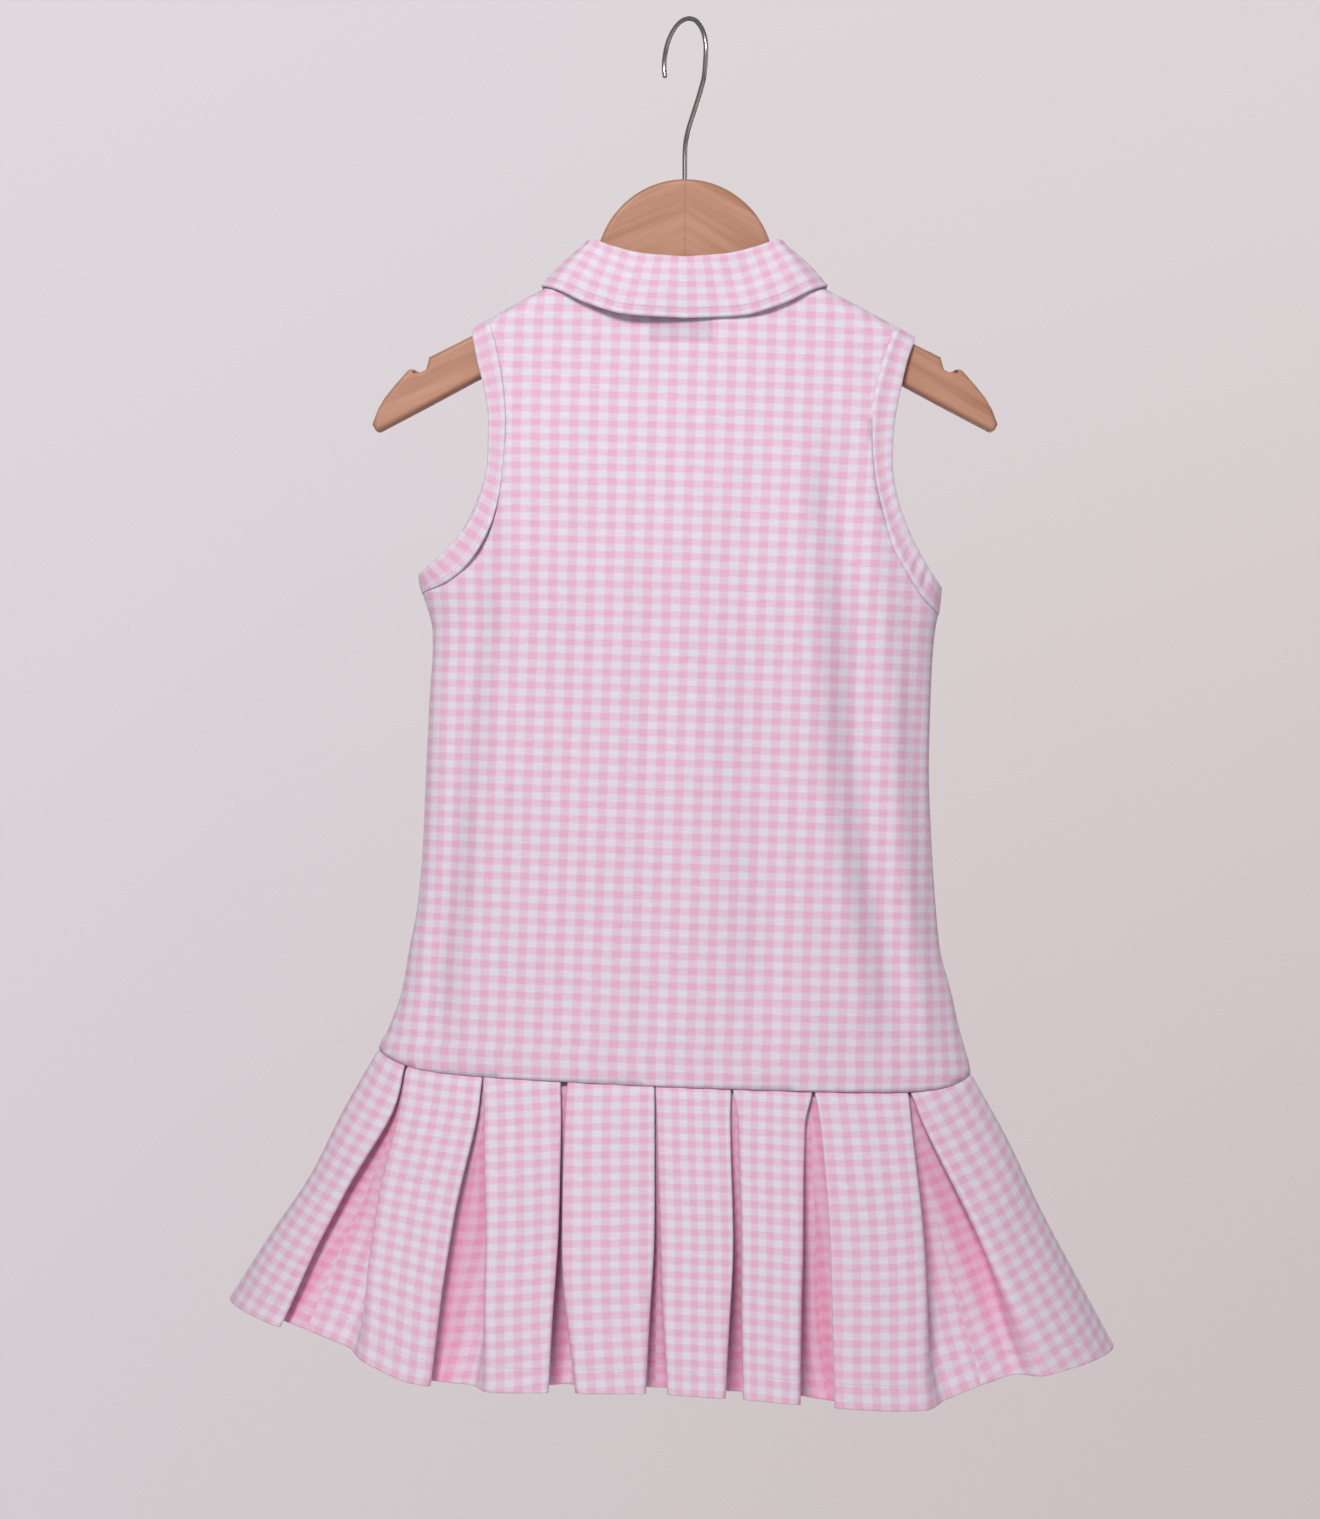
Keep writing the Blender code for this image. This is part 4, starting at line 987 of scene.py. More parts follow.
def skirt_section(pleats, share, ends):
    """Section of a pleated half skirt at a share down, and where each face of it begins."""
    path, breaks = [(mix(ends[0], ends[0] + 6, k / 4), 0.0) for k in range(5)], [0]
    over = []
    for row in pleats:
        lefts = [(place, row[k]) for k, place in enumerate(PLEAT_ROWS)]
        rights = [(place, row[4 + k]) for k, place in enumerate(PLEAT_ROWS)]
        open_up = share**1.3
        left_turn, right_turn = mix(177.5, row[10], open_up), mix(177.5, row[13], open_up)
        left = fold_path(between(lefts, share, 1), mix(row[8], row[9], share), left_turn, 1)
        right = fold_path(between(rights, share, 1), mix(row[11], row[12], share), right_turn, -1)
        over.append((between(lefts, share, 1), left_turn))
        over.append((between(rights, share, 1), right_turn))
        start = path[-1][0]
        path += [(mix(start, left[0][0], k / 12), 0.0) for k in range(1, 12)]
        path += left
        a, b = left[-1], right[-1]
        path += [(mix(a[0], b[0], k / 4), mix(a[1], b[1], k / 4)) for k in (1, 2, 3)]
        breaks.append(len(path) - 2)
        path += right[::-1]
    start = path[-1][0]
    path += [(mix(start, ends[1] - 6, k / 12), 0.0) for k in range(1, 12)]
    path += [(mix(ends[1] - 6, ends[1], k / 4), 0.0) for k in range(5)]
    breaks.append(len(path) - 1)
    # How much each point lies in the shade of a fold that hangs over it.
    painted_shade_share = []
    for along, inward in path:
        near = max(ease((turned - 60) / 60) * math.exp(-(((along - at) / FOLD_SHADE) ** 2)) for at, turned in over)
        painted_shade_share.append(near * ease((inward - 0.9) / 3.2) * ease(share / 0.05))
    return path, breaks, painted_shade_share


def skirt_rows(pleats, side, shares, tilts):
    rows, painted_shade_rows, breaks = [], [], []
    for share in shares:
        curve = skirt_curve(share, side)
        path, breaks, painted_shade_share = skirt_section(pleats, share, (curve[1][0], curve[1][-1]))
        row = []
        for k, (along, inward) in enumerate(path):
            soft = noise.noise(Vector((along / 34, share * 2.4, side * 7.0))) * 2.2
            soft += noise.noise(Vector((along / 11, share * 5.0, side * 3.0))) * 0.5
            soft *= ease(share / 0.35) * ease(k / 5) * ease((len(path) - 1 - k) / 5)
            curl = 1.3 * math.exp(-((share * SKIRT_LENGTH / 1.8) ** 2))
            seam = 0.22 * math.exp(-(((1 - share) * SKIRT_LENGTH - HEM_TURNING) / 0.9) ** 2)
            n = max(i for i in range(len(breaks) - 1) if breaks[i] <= k)
            across = (k - breaks[n]) / (breaks[n + 1] - breaks[n])
            lean = tilts[n] * (across - 0.5) * ease(share / 0.3) * math.sin(math.pi * across) ** 0.5
            if side < 0 and k < 16:
                # Two small creases beside the left side seam, under the waist.
                near = along - curve[1][0]
                for middle, slope in ((7.5, 2.0), (12.5, 4.0)):
                    gone = ease((0.42 - share) / 0.42) * ease(share / 0.04)
                    soft -= 0.9 * gone * math.exp(-(((near - middle - slope * share) / 1.5) ** 2))
            row.append(skirt_point(curve, along, max(0.0, inward + soft * 0.35 + lean) + curl + seam, side))
        rows.append(row)
        painted_shade_rows.append(painted_shade_share)
    return rows, painted_shade_rows, breaks


def pleated_half(name, pleats, side, look, node_name, checks, tilts):
    shares = [0, 0.006, 0.014, 0.025] + [mix(0.04, 0.905, k / 44) for k in range(45)]
    shares += [0.918, 0.924, 0.93, 0.945, 0.96, 0.975, 0.988, 0.995, 1.0]
    rows, painted_shade_rows, breaks = skirt_rows(pleats, side, shares, tilts)
    bm = bmesh.new()
    map_layer = bm.loops.layers.uv.new("cloth")
    # The second map holds the share of painted fold shade at each point.
    painted_shade_layer = bm.loops.layers.uv.new("fold")
    grid = [[bm.verts.new(point * 0.001) for point in row] for row in rows]
    faces = list(zip(breaks, breaks[1:]))
    lengths = []
    for row in rows:
        far = [0.0]
        for a, b in zip(row, row[1:]):
            far.append(far[-1] + (b - a).length)
        lengths.append(far)
    # Each face carries its checks from its own middle line.
    for n, (first, last) in enumerate(faces):
        size_left, size_right, rise, across_from, down_from = checks[n]
        front_first = first if n == 0 else first + 1 + 16
        front_last = last if n == len(faces) - 1 else last - 1 - 17
        places = []
        for share, far in zip(shares, lengths):
            middle, wide = mix(far[front_first], far[front_last], 0.5), far[front_last] - far[front_first]
            line = []
            for k in range(first, last + 1):
                off = far[k] - middle
                size = mix(size_left, size_right, max(0.0, min(1.0, 0.5 + off / max(1.0, wide))))
                down = -share * SKIRT_LENGTH - rise * off
                line.append((off / REPEAT_ACROSS / size + across_from, down / SKIRT_REPEAT_DOWN + down_from))
            places.append(line)
        for j in range(len(rows) - 1):
            for k in range(first, last):
                face = bm.faces.new((grid[j][k], grid[j][k + 1], grid[j + 1][k + 1], grid[j + 1][k]))
                for loop, (line, column) in zip(face.loops, ((j, k), (j, k + 1), (j + 1, k + 1), (j + 1, k))):
                    loop[map_layer].uv = places[line][column - first]
                    loop[painted_shade_layer].uv = (painted_shade_rows[line][column], 0)
    bmesh.ops.recalc_face_normals(bm, faces=bm.faces)
    area = sum(face.calc_area() for face in bm.faces)
    made = add_piece(name, bm, [look])
    thicken(made, SKIRT_CLOTH)
    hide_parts(node_name)
    low = min(range(len(shares)), key=lambda k: abs((1 - shares[k]) * SKIRT_LENGTH - HEM_TURNING))
    line = []
    for k, point in enumerate(rows[low]):
        before, after = rows[low][max(k - 1, 0)], rows[low][min(k + 1, len(rows[low]) - 1)]
        run, fall = after - before, rows[low + 1][k] - rows[low - 1][k]
        line.append((point, run.cross(fall).normalized()))
    flip = -1 if line[5][1].y * side < 0 else 1
    line = [(point + way * flip * (SKIRT_CLOTH / 2 + 0.02), way * flip) for point, way in line]
    stitches = sew(name.replace("cloth", "hem_stitches"), [line], made)
    return made


# The skirt's material paints fold shade into its colour under the overhanging folds.
skirt_cloth = gingham("gingham knit with painted fold shade, skirt", pleated=True)
back_skirt = pleated_half("back_skirt_cloth", BACK_PLEATS, -1, skirt_cloth, "skirt_back", BACK_FACES, BACK_TILTS)
front_skirt = pleated_half("front_skirt_cloth", FRONT_PLEATS, 1, skirt_cloth, "skirt_front", FRONT_FACES, (0.0,) * 8)


# Collar: a doubled polo collar of the same knit, sewn into the neck, standing up and folded over
# outwards round the hanger's hump, with a line of stitches along its edge.

COLLAR_CLOTH = 1.5
COLLAR_EDGE_STITCH = 5.5
# From the centre back (0) over the shoulder (1) to the centre front (2), left half. Columns:
# place, x of the neck seam, gap above it, then x, y, z of the fold and of the edge.
COLLAR = [
    (0.00, 0.0, 0.35, 0.0, -15.0, -132.2, 0.0, -23.0, -165.6),
    (0.35, -22.5, 0.35, -22.5, -14.5, -130.3, -30.5, -22.0, -164.0),
    (0.65, -41.0, 0.50, -41.0, -11.8, -125.4, -53.0, -18.5, -157.5),
    (0.85, -51.5, 0.95, -50.2, -8.6, -121.6, -70.0, -13.6, -149.0),
    (1.00, -56.0, 1.50, -52.6, 0.0, -120.8, -78.2, -1.0, -145.6),
    (1.09, -54.6, 1.20, -52.1, 4.8, -121.4, -77.8, 8.0, -146.6),
    (1.20, -51.5, 0.95, -50.8, 9.2, -123.2, -76.0, 14.8, -152.5),
    (1.45, -38.0, 0.70, -38.0, 15.5, -134.0, -66.0, 23.0, -178.0),
    (1.70, -21.0, 0.60, -22.0, 19.0, -149.0, -52.0, 26.5, -203.0),
    (2.00, -1.2, 0.35, -1.6, 21.0, -163.0, -36.0, 28.0, -219.0),
]
LEAF_STEEPER = 5.0
# Soft hollows of the leaf. Columns: side, place, half width in places, share down, depth.
COLLAR_HOLLOWS = [(1, 0.32, 0.28, 0.42, 1.9), (-1, 0.55, 0.22, 0.5, 0.5), (-1, 0.08, 0.14, 0.6, 0.3)]


def collar_lines(place, side_x):
    """Neck seam, fold and edge points of the collar at a place round one half."""
    side = -1 if place <= 1 else 1
    x = -between(COLLAR, place, 1)
    x = x if side_x > 0 else -x
    neck_z = between(NECK, x, 1 if side < 0 else 2)
    foot = body_point(turn_at(x, neck_z), neck_z, side, 0.0, plain=True)
    foot.z += between(COLLAR, place, 2)
    crest = Vector([between(COLLAR, place, column) for column in (3, 4, 5)])
    edge = Vector([between(COLLAR, place, column) for column in (6, 7, 8)])
    if side < 0:
        # The leaf hangs steeper at the centre back and to the right of it.
        edge.y += LEAF_STEEPER * math.exp(-(((place * side_x - 0.2) / 0.36) ** 2))
    if side_x > 0:
        crest.x, edge.x = -crest.x, -edge.x
    return foot, crest, edge


def collar_row(place, side_x):
    """Points across the collar at one place: up the stand, over the fold and down the leaf."""
    foot, crest, edge = collar_lines(place, side_x)
    run = collar_lines(min(2, place + 0.03), side_x)[1] - collar_lines(max(0, place - 0.03), side_x)[1]
    out = Vector((run.y, -run.x, 0)).normalized()
    if out.dot(Vector((crest.x * 0.25, crest.y, 0))) < 0:
        out = -out
    roll = 2.0
    inner = crest - out * roll - Vector((0, 0, roll))
    outer = crest + out * roll - Vector((0, 0, roll))
    row = [foot.lerp(inner, k / 8) for k in range(8)]
    for k in range(9):
        angle = math.pi * k / 8
        row.append(crest - out * roll * math.cos(angle) - Vector((0, 0, roll * (1 - math.sin(angle)))))
    for k in range(1, 25):
        down = k / 24
        swell = 1.6 * math.sin(math.pi * min(1, down * 1.06)) ** 0.8 if down < 0.94 else 1.6 * 0.08
        for way_x, at, wide, share, depth in COLLAR_HOLLOWS:
            if way_x == side_x or at < wide:
                near = (place - at) if way_x == side_x else (place + at)
                swell -= depth * math.exp(-((near / wide) ** 2) - ((down - share) / 0.32) ** 2)
        ripple = 0.25 * math.sin(place * 9.5 + side_x) * down
        row.append(outer.lerp(edge, down) + out * (swell + ripple))
    return row


def make_collar():
    places = [2 * k / 84 for k in range(85)]
    stations = [(p, -1) for p in reversed(places)] + [(p, 1) for p in places[1:]]
    rows = [collar_row(place, side_x) for place, side_x in stations]
    top = 12
    far = [0.0]
    for a, b in zip(rows, rows[1:]):
        far.append(far[-1] + (b[top + 14] - a[top + 14]).length)
    centre = far[len(places) - 1]
    bm = bmesh.new()
    map_layer = bm.loops.layers.uv.new("cloth")
    grid = [[bm.verts.new(point * 0.001) for point in row] for row in rows]
    downs = []
    for row in rows:
        down = [0.0]
        for a, b in zip(row, row[1:]):
            down.append(down[-1] + (b - a).length)
        downs.append([d - down[-1] for d in down])
    for j in range(len(rows) - 1):
        for k in range(len(rows[0]) - 1):
            face = bm.faces.new((grid[j][k], grid[j][k + 1], grid[j + 1][k + 1], grid[j + 1][k]))
            for loop, (line, column) in zip(face.loops, ((j, k), (j, k + 1), (j + 1, k + 1), (j + 1, k))):
                loop[map_layer].uv = ((far[line] - centre) / REPEAT_ACROSS - 0.35, -downs[line][column] / 6.9 - 0.62)
    bmesh.ops.recalc_face_normals(bm, faces=bm.faces)
    area = sum(face.calc_area() for face in bm.faces)
    made = add_piece("collar_cloth", bm, [collar_cloth])
    thicken(made, COLLAR_CLOTH)
    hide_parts("collar")

    def off(j, k):
        run = rows[min(j + 1, len(rows) - 1)][k] - rows[max(j - 1, 0)][k]
        fall = rows[j][min(k + 1, len(rows[0]) - 1)] - rows[j][k - 1]
        way = run.cross(fall).normalized()
        away = rows[j][k] - Vector((0, 0, rows[j][k].z))
        return -way if way.dot(away) < 0 else way

    leaf = [(j, k) for j in range(2, len(rows) - 2) for k in [len(rows[0]) - 5]]
    line = [(rows[j][k] + off(j, k) * (COLLAR_CLOTH / 2 + 0.02), off(j, k)) for j, k in leaf]
    left_end = [(rows[2][k] + off(2, k) * (COLLAR_CLOTH / 2), off(2, k)) for k in range(18, len(rows[0]) - 4)]
    right_end = [
        (rows[-3][k] + off(len(rows) - 3, k) * (COLLAR_CLOTH / 2), off(len(rows) - 3, k))
        for k in range(18, len(rows[0]) - 4)
    ]
    stitches = sew("collar_stitches", [line, left_end, right_end], made)
    return made


collar_cloth = gingham("gingham knit, collar")
collar = make_collar()


# Front placket: a plain straight strip of the same knit, sewn down the middle of the front with a
# line of stitches inside each long edge. Nothing of it is seen in the photograph.

PLACKET = (-12, 12, -187.5, -297)
PLACKET_CLOTH = 1.4
PLACKET_OUT = 1.75


def laid_strip(name, side, box, out, columns, lines, look, thick, node_name):
    """A strip laid on the bodice from the bodice's own points, moved out or in from it."""
    left, right, top, low = box
    bm = bmesh.new()
    map_layer = bm.loops.layers.uv.new("cloth")
    grid = []
    for j in range(lines + 1):
        z = mix(top, low, j / lines)
        row = []
        for k in range(columns + 1):
            x = mix(left, right, k / columns)
            here, way = over_body(turn_at(x, z), z, side, out)
            row.append(bm.verts.new(here * 0.001))
        grid.append(row)
    for j in range(lines):
        for k in range(columns):
            face = bm.faces.new((grid[j][k], grid[j][k + 1], grid[j + 1][k + 1], grid[j + 1][k]))
            for loop, (line, column) in zip(face.loops, ((j, k), (j, k + 1), (j + 1, k + 1), (j + 1, k))):
                across = mix(left, right, column / columns) / REPEAT_ACROSS
                loop[map_layer].uv = (across, mix(top, low, line / lines) / REPEAT_DOWN)
    bmesh.ops.recalc_face_normals(bm, faces=bm.faces)
    area = sum(face.calc_area() for face in bm.faces)
    made = add_piece(name, bm, [look])
    thicken(made, thick)
    soften = made.modifiers.new("rounded edge", "BEVEL")
    soften.width = thick * 0.0004
    soften.segments = 3
    soften.limit_method = "ANGLE"
    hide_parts(node_name)
    return made, area


placket_cloth = gingham("gingham knit, placket")
placket, placket_area = laid_strip(
    "placket_cloth", 1, PLACKET, PLACKET_OUT, 16, 60, placket_cloth, PLACKET_CLOTH, "placket"
)
edge_lines = []
for x in (PLACKET[0] + 2.2, PLACKET[1] - 2.2):
    heights = [mix(PLACKET[2] - 1, PLACKET[3] + 2.2, k / 40) for k in range(41)]
    edge_lines.append([over_body(turn_at(x, z), z, 1, PLACKET_OUT + PLACKET_CLOTH / 2) for z in heights])
box_line = [mix(PLACKET[0] + 2.2, PLACKET[1] - 2.2, k / 12) for k in range(13)]
for z in (PLACKET[3] + 2.2, PLACKET[3] + 14):
    edge_lines.append([over_body(turn_at(x, z), z, 1, PLACKET_OUT + PLACKET_CLOTH / 2) for x in box_line])
placket_stitches = sew("placket_stitches", edge_lines, placket)


# Buttons: three small four-hole buttons of pearly moulded plastic with a raised rim, sewn through
# the placket with a cross of thread.

BUTTON_RADIUS = 5.5
BUTTON_HEIGHTS = (-199.0, -239.0, -279.0)
# Profile of the button from its middle outwards. Columns: radius, height over its back.
BUTTON_PROFILE = [
    (0.0, 1.35),
    (2.6, 1.35),
    (3.3, 1.5),
    (3.8, 1.95),
    (4.4, 2.2),
    (4.95, 2.1),
    (5.35, 1.65),
    (5.5, 1.1),
    (5.3, 0.5),
    (4.7, 0.12),
    (3.6, 0.0),
    (0.0, 0.0),
]
HOLE_OFF, HOLE_RADIUS = 1.05, 0.5

pearl = bpy.data.materials.new("button plastic")
pearl.use_nodes = True
shader = pearl.node_tree.nodes["Principled BSDF"]
shader.inputs["Roughness"].default_value = 0.22
shader.inputs["Coat Weight"].default_value = 0.4
place = node(pearl.node_tree, "ShaderNodeTexCoord")
swirl = node(pearl.node_tree, "ShaderNodeTexNoise")
swirl.inputs["Scale"].default_value = 160
swirl.inputs["Distortion"].default_value = 1.4
pearl_tone = ramp(pearl.node_tree, [(0.35, (0.74, 0.62, 0.67)), (0.65, (0.86, 0.78, 0.82))])
wire(pearl.node_tree, place, swirl, "Object")
wire(pearl.node_tree, swirl, pearl_tone)
wire(pearl.node_tree, pearl_tone, shader)


def plain_copy(made):
    """The mesh of an object with its modifiers worked in."""
    bpy.context.view_layer.update()
    graph = bpy.context.evaluated_depsgraph_get()
    return bpy.data.meshes.new_from_object(made.evaluated_get(graph))


for number, z in enumerate(BUTTON_HEIGHTS, start=1):
    base, facing = over_body(turn_at(0, z), z, 1, PLACKET_OUT + PLACKET_CLOTH / 2 + 0.15)
    turned = facing.to_track_quat("Z", "Y").to_matrix().to_4x4()
    bm = bmesh.new()
    for radius, high in BUTTON_PROFILE:
        bm.verts.new((radius * 0.001, 0, high * 0.001))
    bm.verts.ensure_lookup_table()
    for k in range(len(BUTTON_PROFILE) - 1):
        bm.edges.new((bm.verts[k], bm.verts[k + 1]))
    bmesh.ops.spin(
        bm, geom=bm.verts[:] + bm.edges[:], cent=(0, 0, 0), axis=(0, 0, 1), angle=math.tau, steps=48, use_merge=True
    )
    bmesh.ops.remove_doubles(bm, verts=bm.verts, dist=1e-6)
    bmesh.ops.recalc_face_normals(bm, faces=bm.faces)
    made = add_piece(f"sewn_button_{number}", bm, [pearl])
    bm = bmesh.new()
    for sx, sy in ((1, 1), (1, -1), (-1, 1), (-1, -1)):
        drilled = bmesh.ops.create_cone(
            bm, cap_ends=True, segments=16, radius1=HOLE_RADIUS * 0.001, radius2=HOLE_RADIUS * 0.001, depth=0.006
        )
        bmesh.ops.translate(bm, vec=(sx * HOLE_OFF * 0.001, sy * HOLE_OFF * 0.001, 0.001), verts=drilled["verts"])
    drill_mesh = bpy.data.meshes.new("drill")
    bm.to_mesh(drill_mesh)
    bm.free()
    drill = bpy.data.objects.new("drill", drill_mesh)
    bpy.context.scene.collection.objects.link(drill)
    cut = made.modifiers.new("four holes", "BOOLEAN")
    cut.object = drill
    cut.solver = "EXACT"
    drilled_mesh = plain_copy(made)
    made.modifiers.clear()
    made.data = drilled_mesh
    bpy.data.objects.remove(drill, do_unlink=True)
    bm = bmesh.new()
    bm.from_mesh(drilled_mesh)
    for edge in bm.edges:
        edge.smooth = edge.calc_face_angle(0.0) < 0.7
    bmesh.ops.transform(bm, matrix=turned, verts=bm.verts)
    bmesh.ops.translate(bm, vec=base * 0.001, verts=bm.verts)
    bm.to_mesh(drilled_mesh)
    bm.free()
    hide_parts(f"button_{number}")
    up = turned.to_3x3()
    lines = []
    for a, b in (((1, 1), (-1, -1)), ((1, -1), (-1, 1))):
        ends = [up @ Vector((s[0] * HOLE_OFF, s[1] * HOLE_OFF, 1.45)) + base for s in (a, b)]
        lines.append([(ends[0], facing), (ends[1], facing)])
    sew(f"button_thread_{number}", lines, made, long=2.9, gap=0.05, thick=0.55)


# Neck label: a small blank woven tape sewn flat inside the back neck. The faint darker patch over
# it, under the collar, is painted shade in the back cloth's colour.

label_tape = bpy.data.materials.new("woven label tape")
label_tape.use_nodes = True
tree = label_tape.node_tree
shader = tree.nodes["Principled BSDF"]
shader.inputs["Roughness"].default_value = 0.6
shader.inputs["Sheen Weight"].default_value = 0.15
tape_map = node(tree, "ShaderNodeUVMap", uv_map="cloth")
ribs = node(tree, "ShaderNodeTexWave", bands_direction="Y")
ribs.inputs["Scale"].default_value = 9
ribs.inputs["Distortion"].default_value = 0.6
wire(tree, tape_map, ribs, "UV")
tape_tone = ramp(tree, [(0.0, (0.72, 0.70, 0.72)), (1.0, (0.82, 0.80, 0.82))])
wire(tree, ribs, tape_tone)
wire(tree, tape_tone, shader)
tape_bump = node(tree, "ShaderNodeBump")
tape_bump.inputs["Strength"].default_value = 0.3
tape_bump.inputs["Distance"].default_value = 0.0002
wire(tree, ribs, tape_bump, 0, "Height")
tree.links.new(tape_bump.outputs[0], shader.inputs["Normal"])
label, label_area = laid_strip(
    "neck_label_tape", -1, (-20, 15, -156.2, -178.5), -0.95, 20, 12, label_tape, 0.5, "neck_label"
)


# Hanger: a flat shaped board of varnished red-brown hardwood with rounded edges and a strap notch
# near each tip, made of two arms whose grain meets in a mitre under the hook.

BOARD_THICK = 12.0
CROWN_CENTRE, CROWN_RADIUS = (0.0, -135.9), 48.8
# Left half of the outline from the crown down to the underside. Columns: x, z.
BOARD_SIDE = [
    (-48.9, -134.6),
    (-50.6, -137.6),
    (-54.5, -140.1),
    (-76.0, -151.5),
    (-96.0, -162.1),
    (-116.1, -172.7),
    (-140.4, -184.9),
    (-141.2, -188.4),
    (-142.2, -191.6),
    (-145.4, -193.2),
    (-148.4, -191.7),
    (-149.9, -190.3),
    (-152.6, -192.6),
    (-159.7, -200.6),
    (-164.8, -207.0),
    (-168.6, -213.6),
    (-171.6, -221.6),
    (-169.2, -226.4),
    (-140.0, -211.0),
    (-111.9, -195.9),
    (-76.0, -177.2),
    (-46.0, -161.2),
    (-24.0, -151.4),
    (-8.0, -147.8),
]

wood = bpy.data.materials.new("varnished hanger wood")
wood.use_nodes = True
tree = wood.node_tree
shader = tree.nodes["Principled BSDF"]
shader.inputs["Coat Weight"].default_value = 0.05
shader.inputs["Coat Roughness"].default_value = 0.35
shader.inputs["Specular IOR Level"].default_value = 0.3
place = node(tree, "ShaderNodeTexCoord")
spot = node(tree, "ShaderNodeSeparateXYZ")
wire(tree, place, spot, "Object")
aside = node(tree, "ShaderNodeMath", operation="ABSOLUTE")
wire(tree, spot, aside, "X")
# The grain of both arms runs down and outwards, a little steeper on the right, and meets in the
# middle.
level = node(tree, "ShaderNodeMath", operation="MULTIPLY_ADD")
level.inputs[1].default_value = 0.07
wire(tree, spot, level, "X", 0)
wire(tree, spot, level, "Z", 2)
slant = node(tree, "ShaderNodeMath", operation="MULTIPLY_ADD")
slant.inputs[1].default_value = 0.507
wire(tree, aside, slant, 0, 0)
wire(tree, level, slant, 0, 2)
along_grain = node(tree, "ShaderNodeMath", operation="MULTIPLY")
along_grain.inputs[1].default_value = 0.06
wire(tree, spot, along_grain, "X")
grain_place = node(tree, "ShaderNodeCombineXYZ")
wire(tree, along_grain, grain_place, 0, "X")
wire(tree, spot, grain_place, "Y", "Y")
wire(tree, slant, grain_place, 0, "Z")
grain = node(tree, "ShaderNodeTexNoise")
grain.inputs["Scale"].default_value = 520
grain.inputs["Detail"].default_value = 6
grain.inputs["Roughness"].default_value = 0.62
wire(tree, grain_place, grain)
figure = node(tree, "ShaderNodeTexNoise")
figure.inputs["Scale"].default_value = 118
figure.inputs["Detail"].default_value = 2
figure.inputs["Distortion"].default_value = 0.5
wire(tree, grain_place, figure)
grain_tone = ramp(
    tree, [(0.30, (0.37, 0.165, 0.095)), (0.5, (0.475, 0.235, 0.150)), (0.70, (0.55, 0.300, 0.200))]
)
blend = node(tree, "ShaderNodeMix", data_type="FLOAT")
blend.inputs[0].default_value = 0.68
wire(tree, grain, blend, 0, 2)
wire(tree, figure, blend, 0, 3)
wire(tree, blend, grain_tone)
# The glue line of the mitre under the hook is a fine darker line.
mitre = node(tree, "ShaderNodeMapRange", interpolation_type="SMOOTHSTEP")
mitre.inputs["From Max"].default_value = 0.0009
mitre.inputs["To Min"].default_value = 0.86
wire(tree, aside, mitre)
joined = node(tree, "ShaderNodeVectorMath", operation="SCALE")
wire(tree, grain_tone, joined)
wire(tree, mitre, joined, 0, "Scale")
wire(tree, joined, shader)
gloss = node(tree, "ShaderNodeMapRange")
gloss.inputs["To Min"].default_value = 0.36
gloss.inputs["To Max"].default_value = 0.52
wire(tree, grain, gloss)
wire(tree, gloss, shader, 0, "Roughness")
pores = node(tree, "ShaderNodeBump")
pores.inputs["Strength"].default_value = 0.18
pores.inputs["Distance"].default_value = 0.0003
wire(tree, grain, pores, 0, "Height")
tree.links.new(pores.outputs[0], shader.inputs["Normal"])

left_half = []
for step in range(37):
    angle = math.radians(90 + step * 85 / 36)
    left_half.append(
        (CROWN_CENTRE[0] + CROWN_RADIUS * math.cos(angle), CROWN_CENTRE[1] + CROWN_RADIUS * math.sin(angle))
    )
left_half += BOARD_SIDE
outline = left_half + [(0.0, -147.4)] + [(-x, z) for x, z in reversed(left_half[1:])]
bm = bmesh.new()
near = [bm.verts.new((x * 0.001, -BOARD_THICK / 2 * 0.001, z * 0.001)) for x, z in outline]
face = bm.faces.new(near)
grown = bmesh.ops.extrude_face_region(bm, geom=[face])
moved = [item for item in grown["geom"] if isinstance(item, bmesh.types.BMVert)]
bmesh.ops.translate(bm, vec=(0, BOARD_THICK * 0.001, 0), verts=moved)
bmesh.ops.recalc_face_normals(bm, faces=bm.faces)
board = add_piece("hanger_wood_board", bm, [wood])
soften = board.modifiers.new("rounded edges", "BEVEL")
soften.width = 0.0027
soften.segments = 5
soften.limit_method = "ANGLE"
soften.angle_limit = math.radians(80)
soften.use_clamp_overlap = False
soften.harden_normals = True
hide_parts("hanger_board")


# Hook: polished steel wire bent to a crook, with a rounded tip, running down through the crown of
# the board. It is turned about its shank from the plane of the board, as it is in the photograph.

WIRE_RADIUS = 1.4
HOOK_RADIUS = 21.4
HOOK_TURN = 58.0
# Lower end of the wire, in the plane of the hook. Columns: out from the shank, z.
HOOK_NECK = [
    (21.3, -22.0),
    (19.6, -33.2),
    (15.6, -41.3),
    (9.2, -51.2),
    (3.2, -60.6),
    (0.6, -67.6),
    (0.0, -75.0),
    (0.0, -99.0),
]

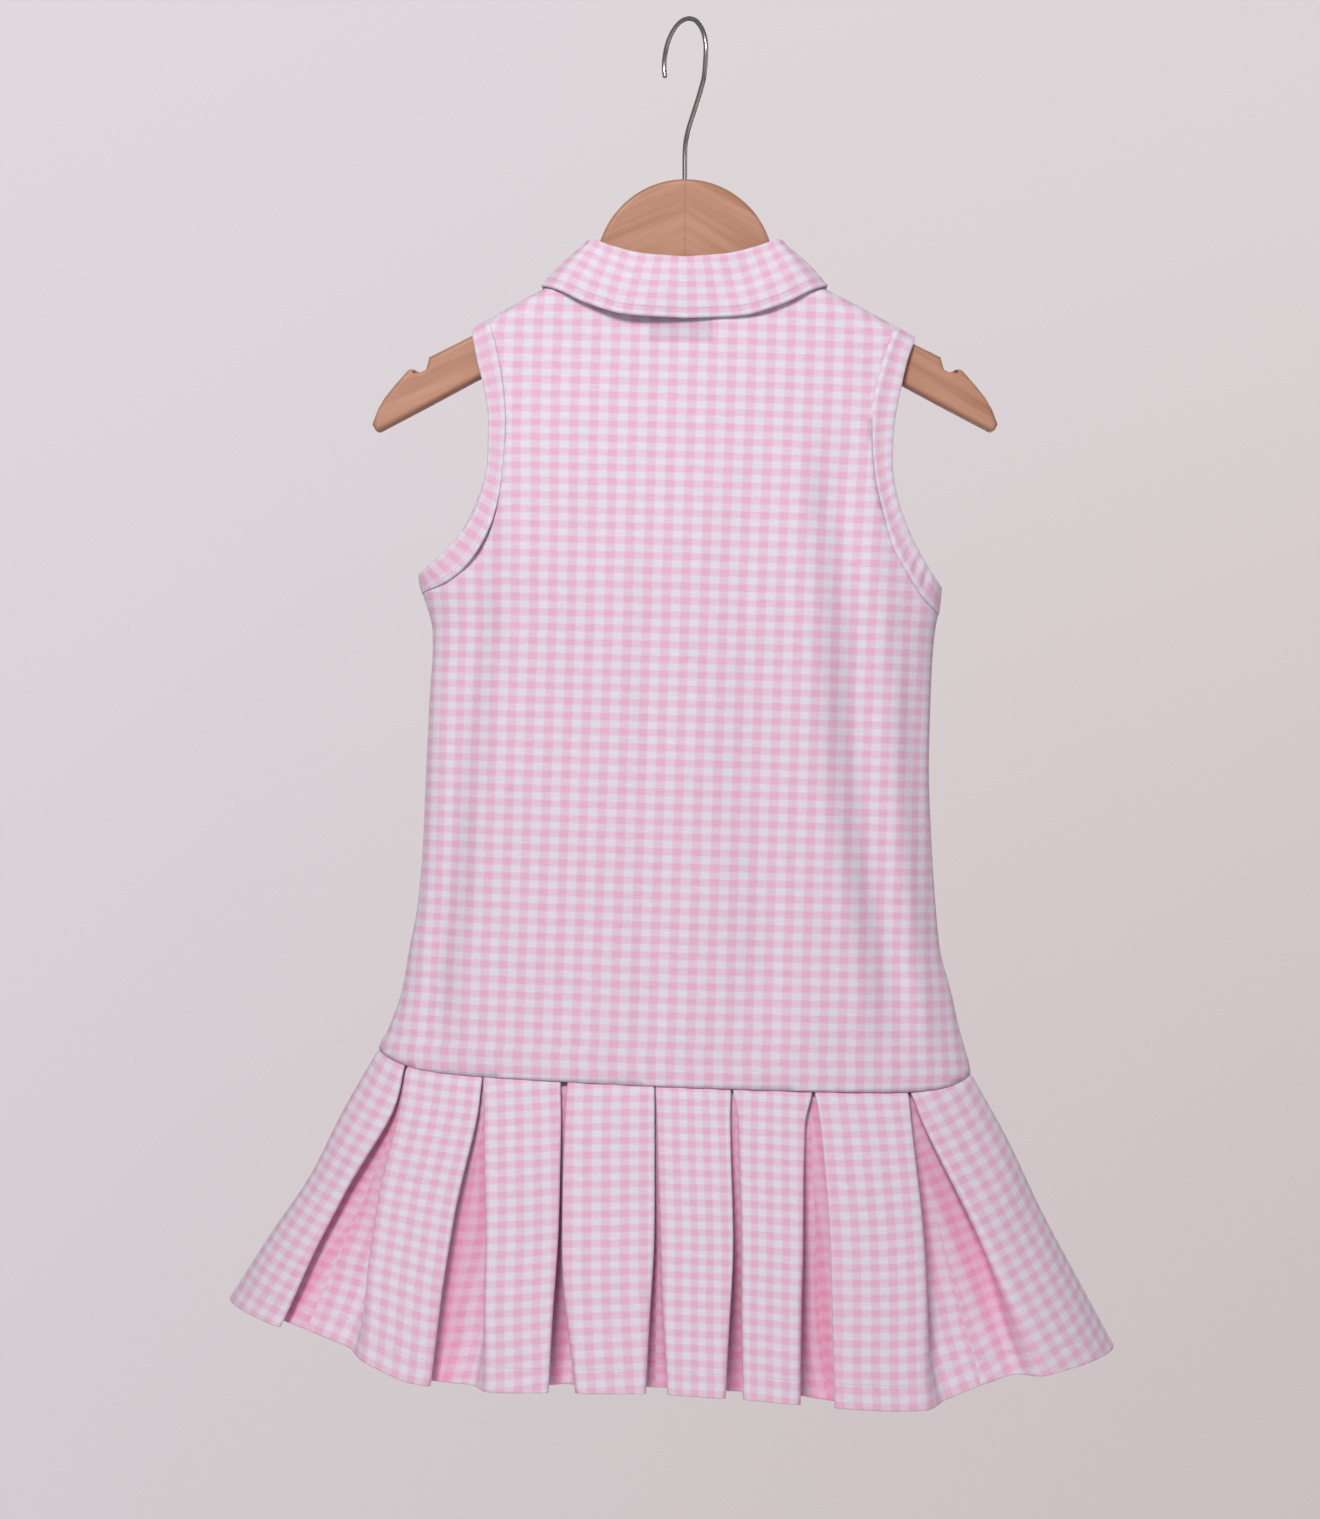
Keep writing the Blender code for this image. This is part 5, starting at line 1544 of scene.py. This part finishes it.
steel = bpy.data.materials.new("polished hook steel")
steel.use_nodes = True
tree = steel.node_tree
shader = tree.nodes["Principled BSDF"]
shader.inputs["Metallic"].default_value = 1.0
shader.inputs["Roughness"].default_value = 0.24
place = node(tree, "ShaderNodeTexCoord")
drawn = node(tree, "ShaderNodeTexNoise")
drawn.inputs["Scale"].default_value = 700
wire(tree, place, drawn, "Object")
steel_tone = ramp(tree, [(0.3, (0.40, 0.365, 0.355)), (0.7, (0.50, 0.465, 0.455))])
wire(tree, drawn, steel_tone)
wire(tree, steel_tone, shader)

middle = WIRE_RADIUS - HOOK_RADIUS
hook_line = [
    (HOOK_RADIUS * math.cos(math.radians(a)), middle + HOOK_RADIUS * math.sin(math.radians(a)))
    for a in range(196, 3, -4)
]
neck_rows = [(k, out, z) for k, (out, z) in enumerate(HOOK_NECK)]
for k in range(8 * (len(neck_rows) - 1) + 1):
    hook_line.append((between(neck_rows, k / 8, 1), between(neck_rows, k / 8, 2)))
turn = math.radians(HOOK_TURN)
path = [Vector((out * math.cos(turn), -out * math.sin(turn), z)) for out, z in hook_line]
wire_curve = bpy.data.curves.new("hook wire", "CURVE")
wire_curve.dimensions = "3D"
wire_curve.bevel_depth = WIRE_RADIUS * 0.001
wire_curve.bevel_resolution = 5
wire_curve.use_fill_caps = True
spline = wire_curve.splines.new("POLY")
tip = (path[0] - path[1]).normalized()
rounded = [(path[0] + tip * 0.95, 0.25), (path[0] + tip * 0.75, 0.6), (path[0] + tip * 0.4, 0.87)]
stations = rounded + [(point, 1.0) for point in path]
spline.points.add(len(stations) - 1)
for k, (point, size) in enumerate(stations):
    spline.points[k].co = (*(point * 0.001), 1)
    spline.points[k].radius = size
hook = bpy.data.objects.new("hanger_wire_hook", wire_curve)
bpy.context.scene.collection.objects.link(hook)
hook_mesh = plain_copy(hook)
bpy.data.objects.remove(hook, do_unlink=True)
bm = bmesh.new()
bm.from_mesh(hook_mesh)
bmesh.ops.remove_doubles(bm, verts=bm.verts, dist=1e-6)
bmesh.ops.recalc_face_normals(bm, faces=bm.faces)
hook = add_piece("hanger_wire_hook", bm, [steel])
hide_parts("hanger_hook")
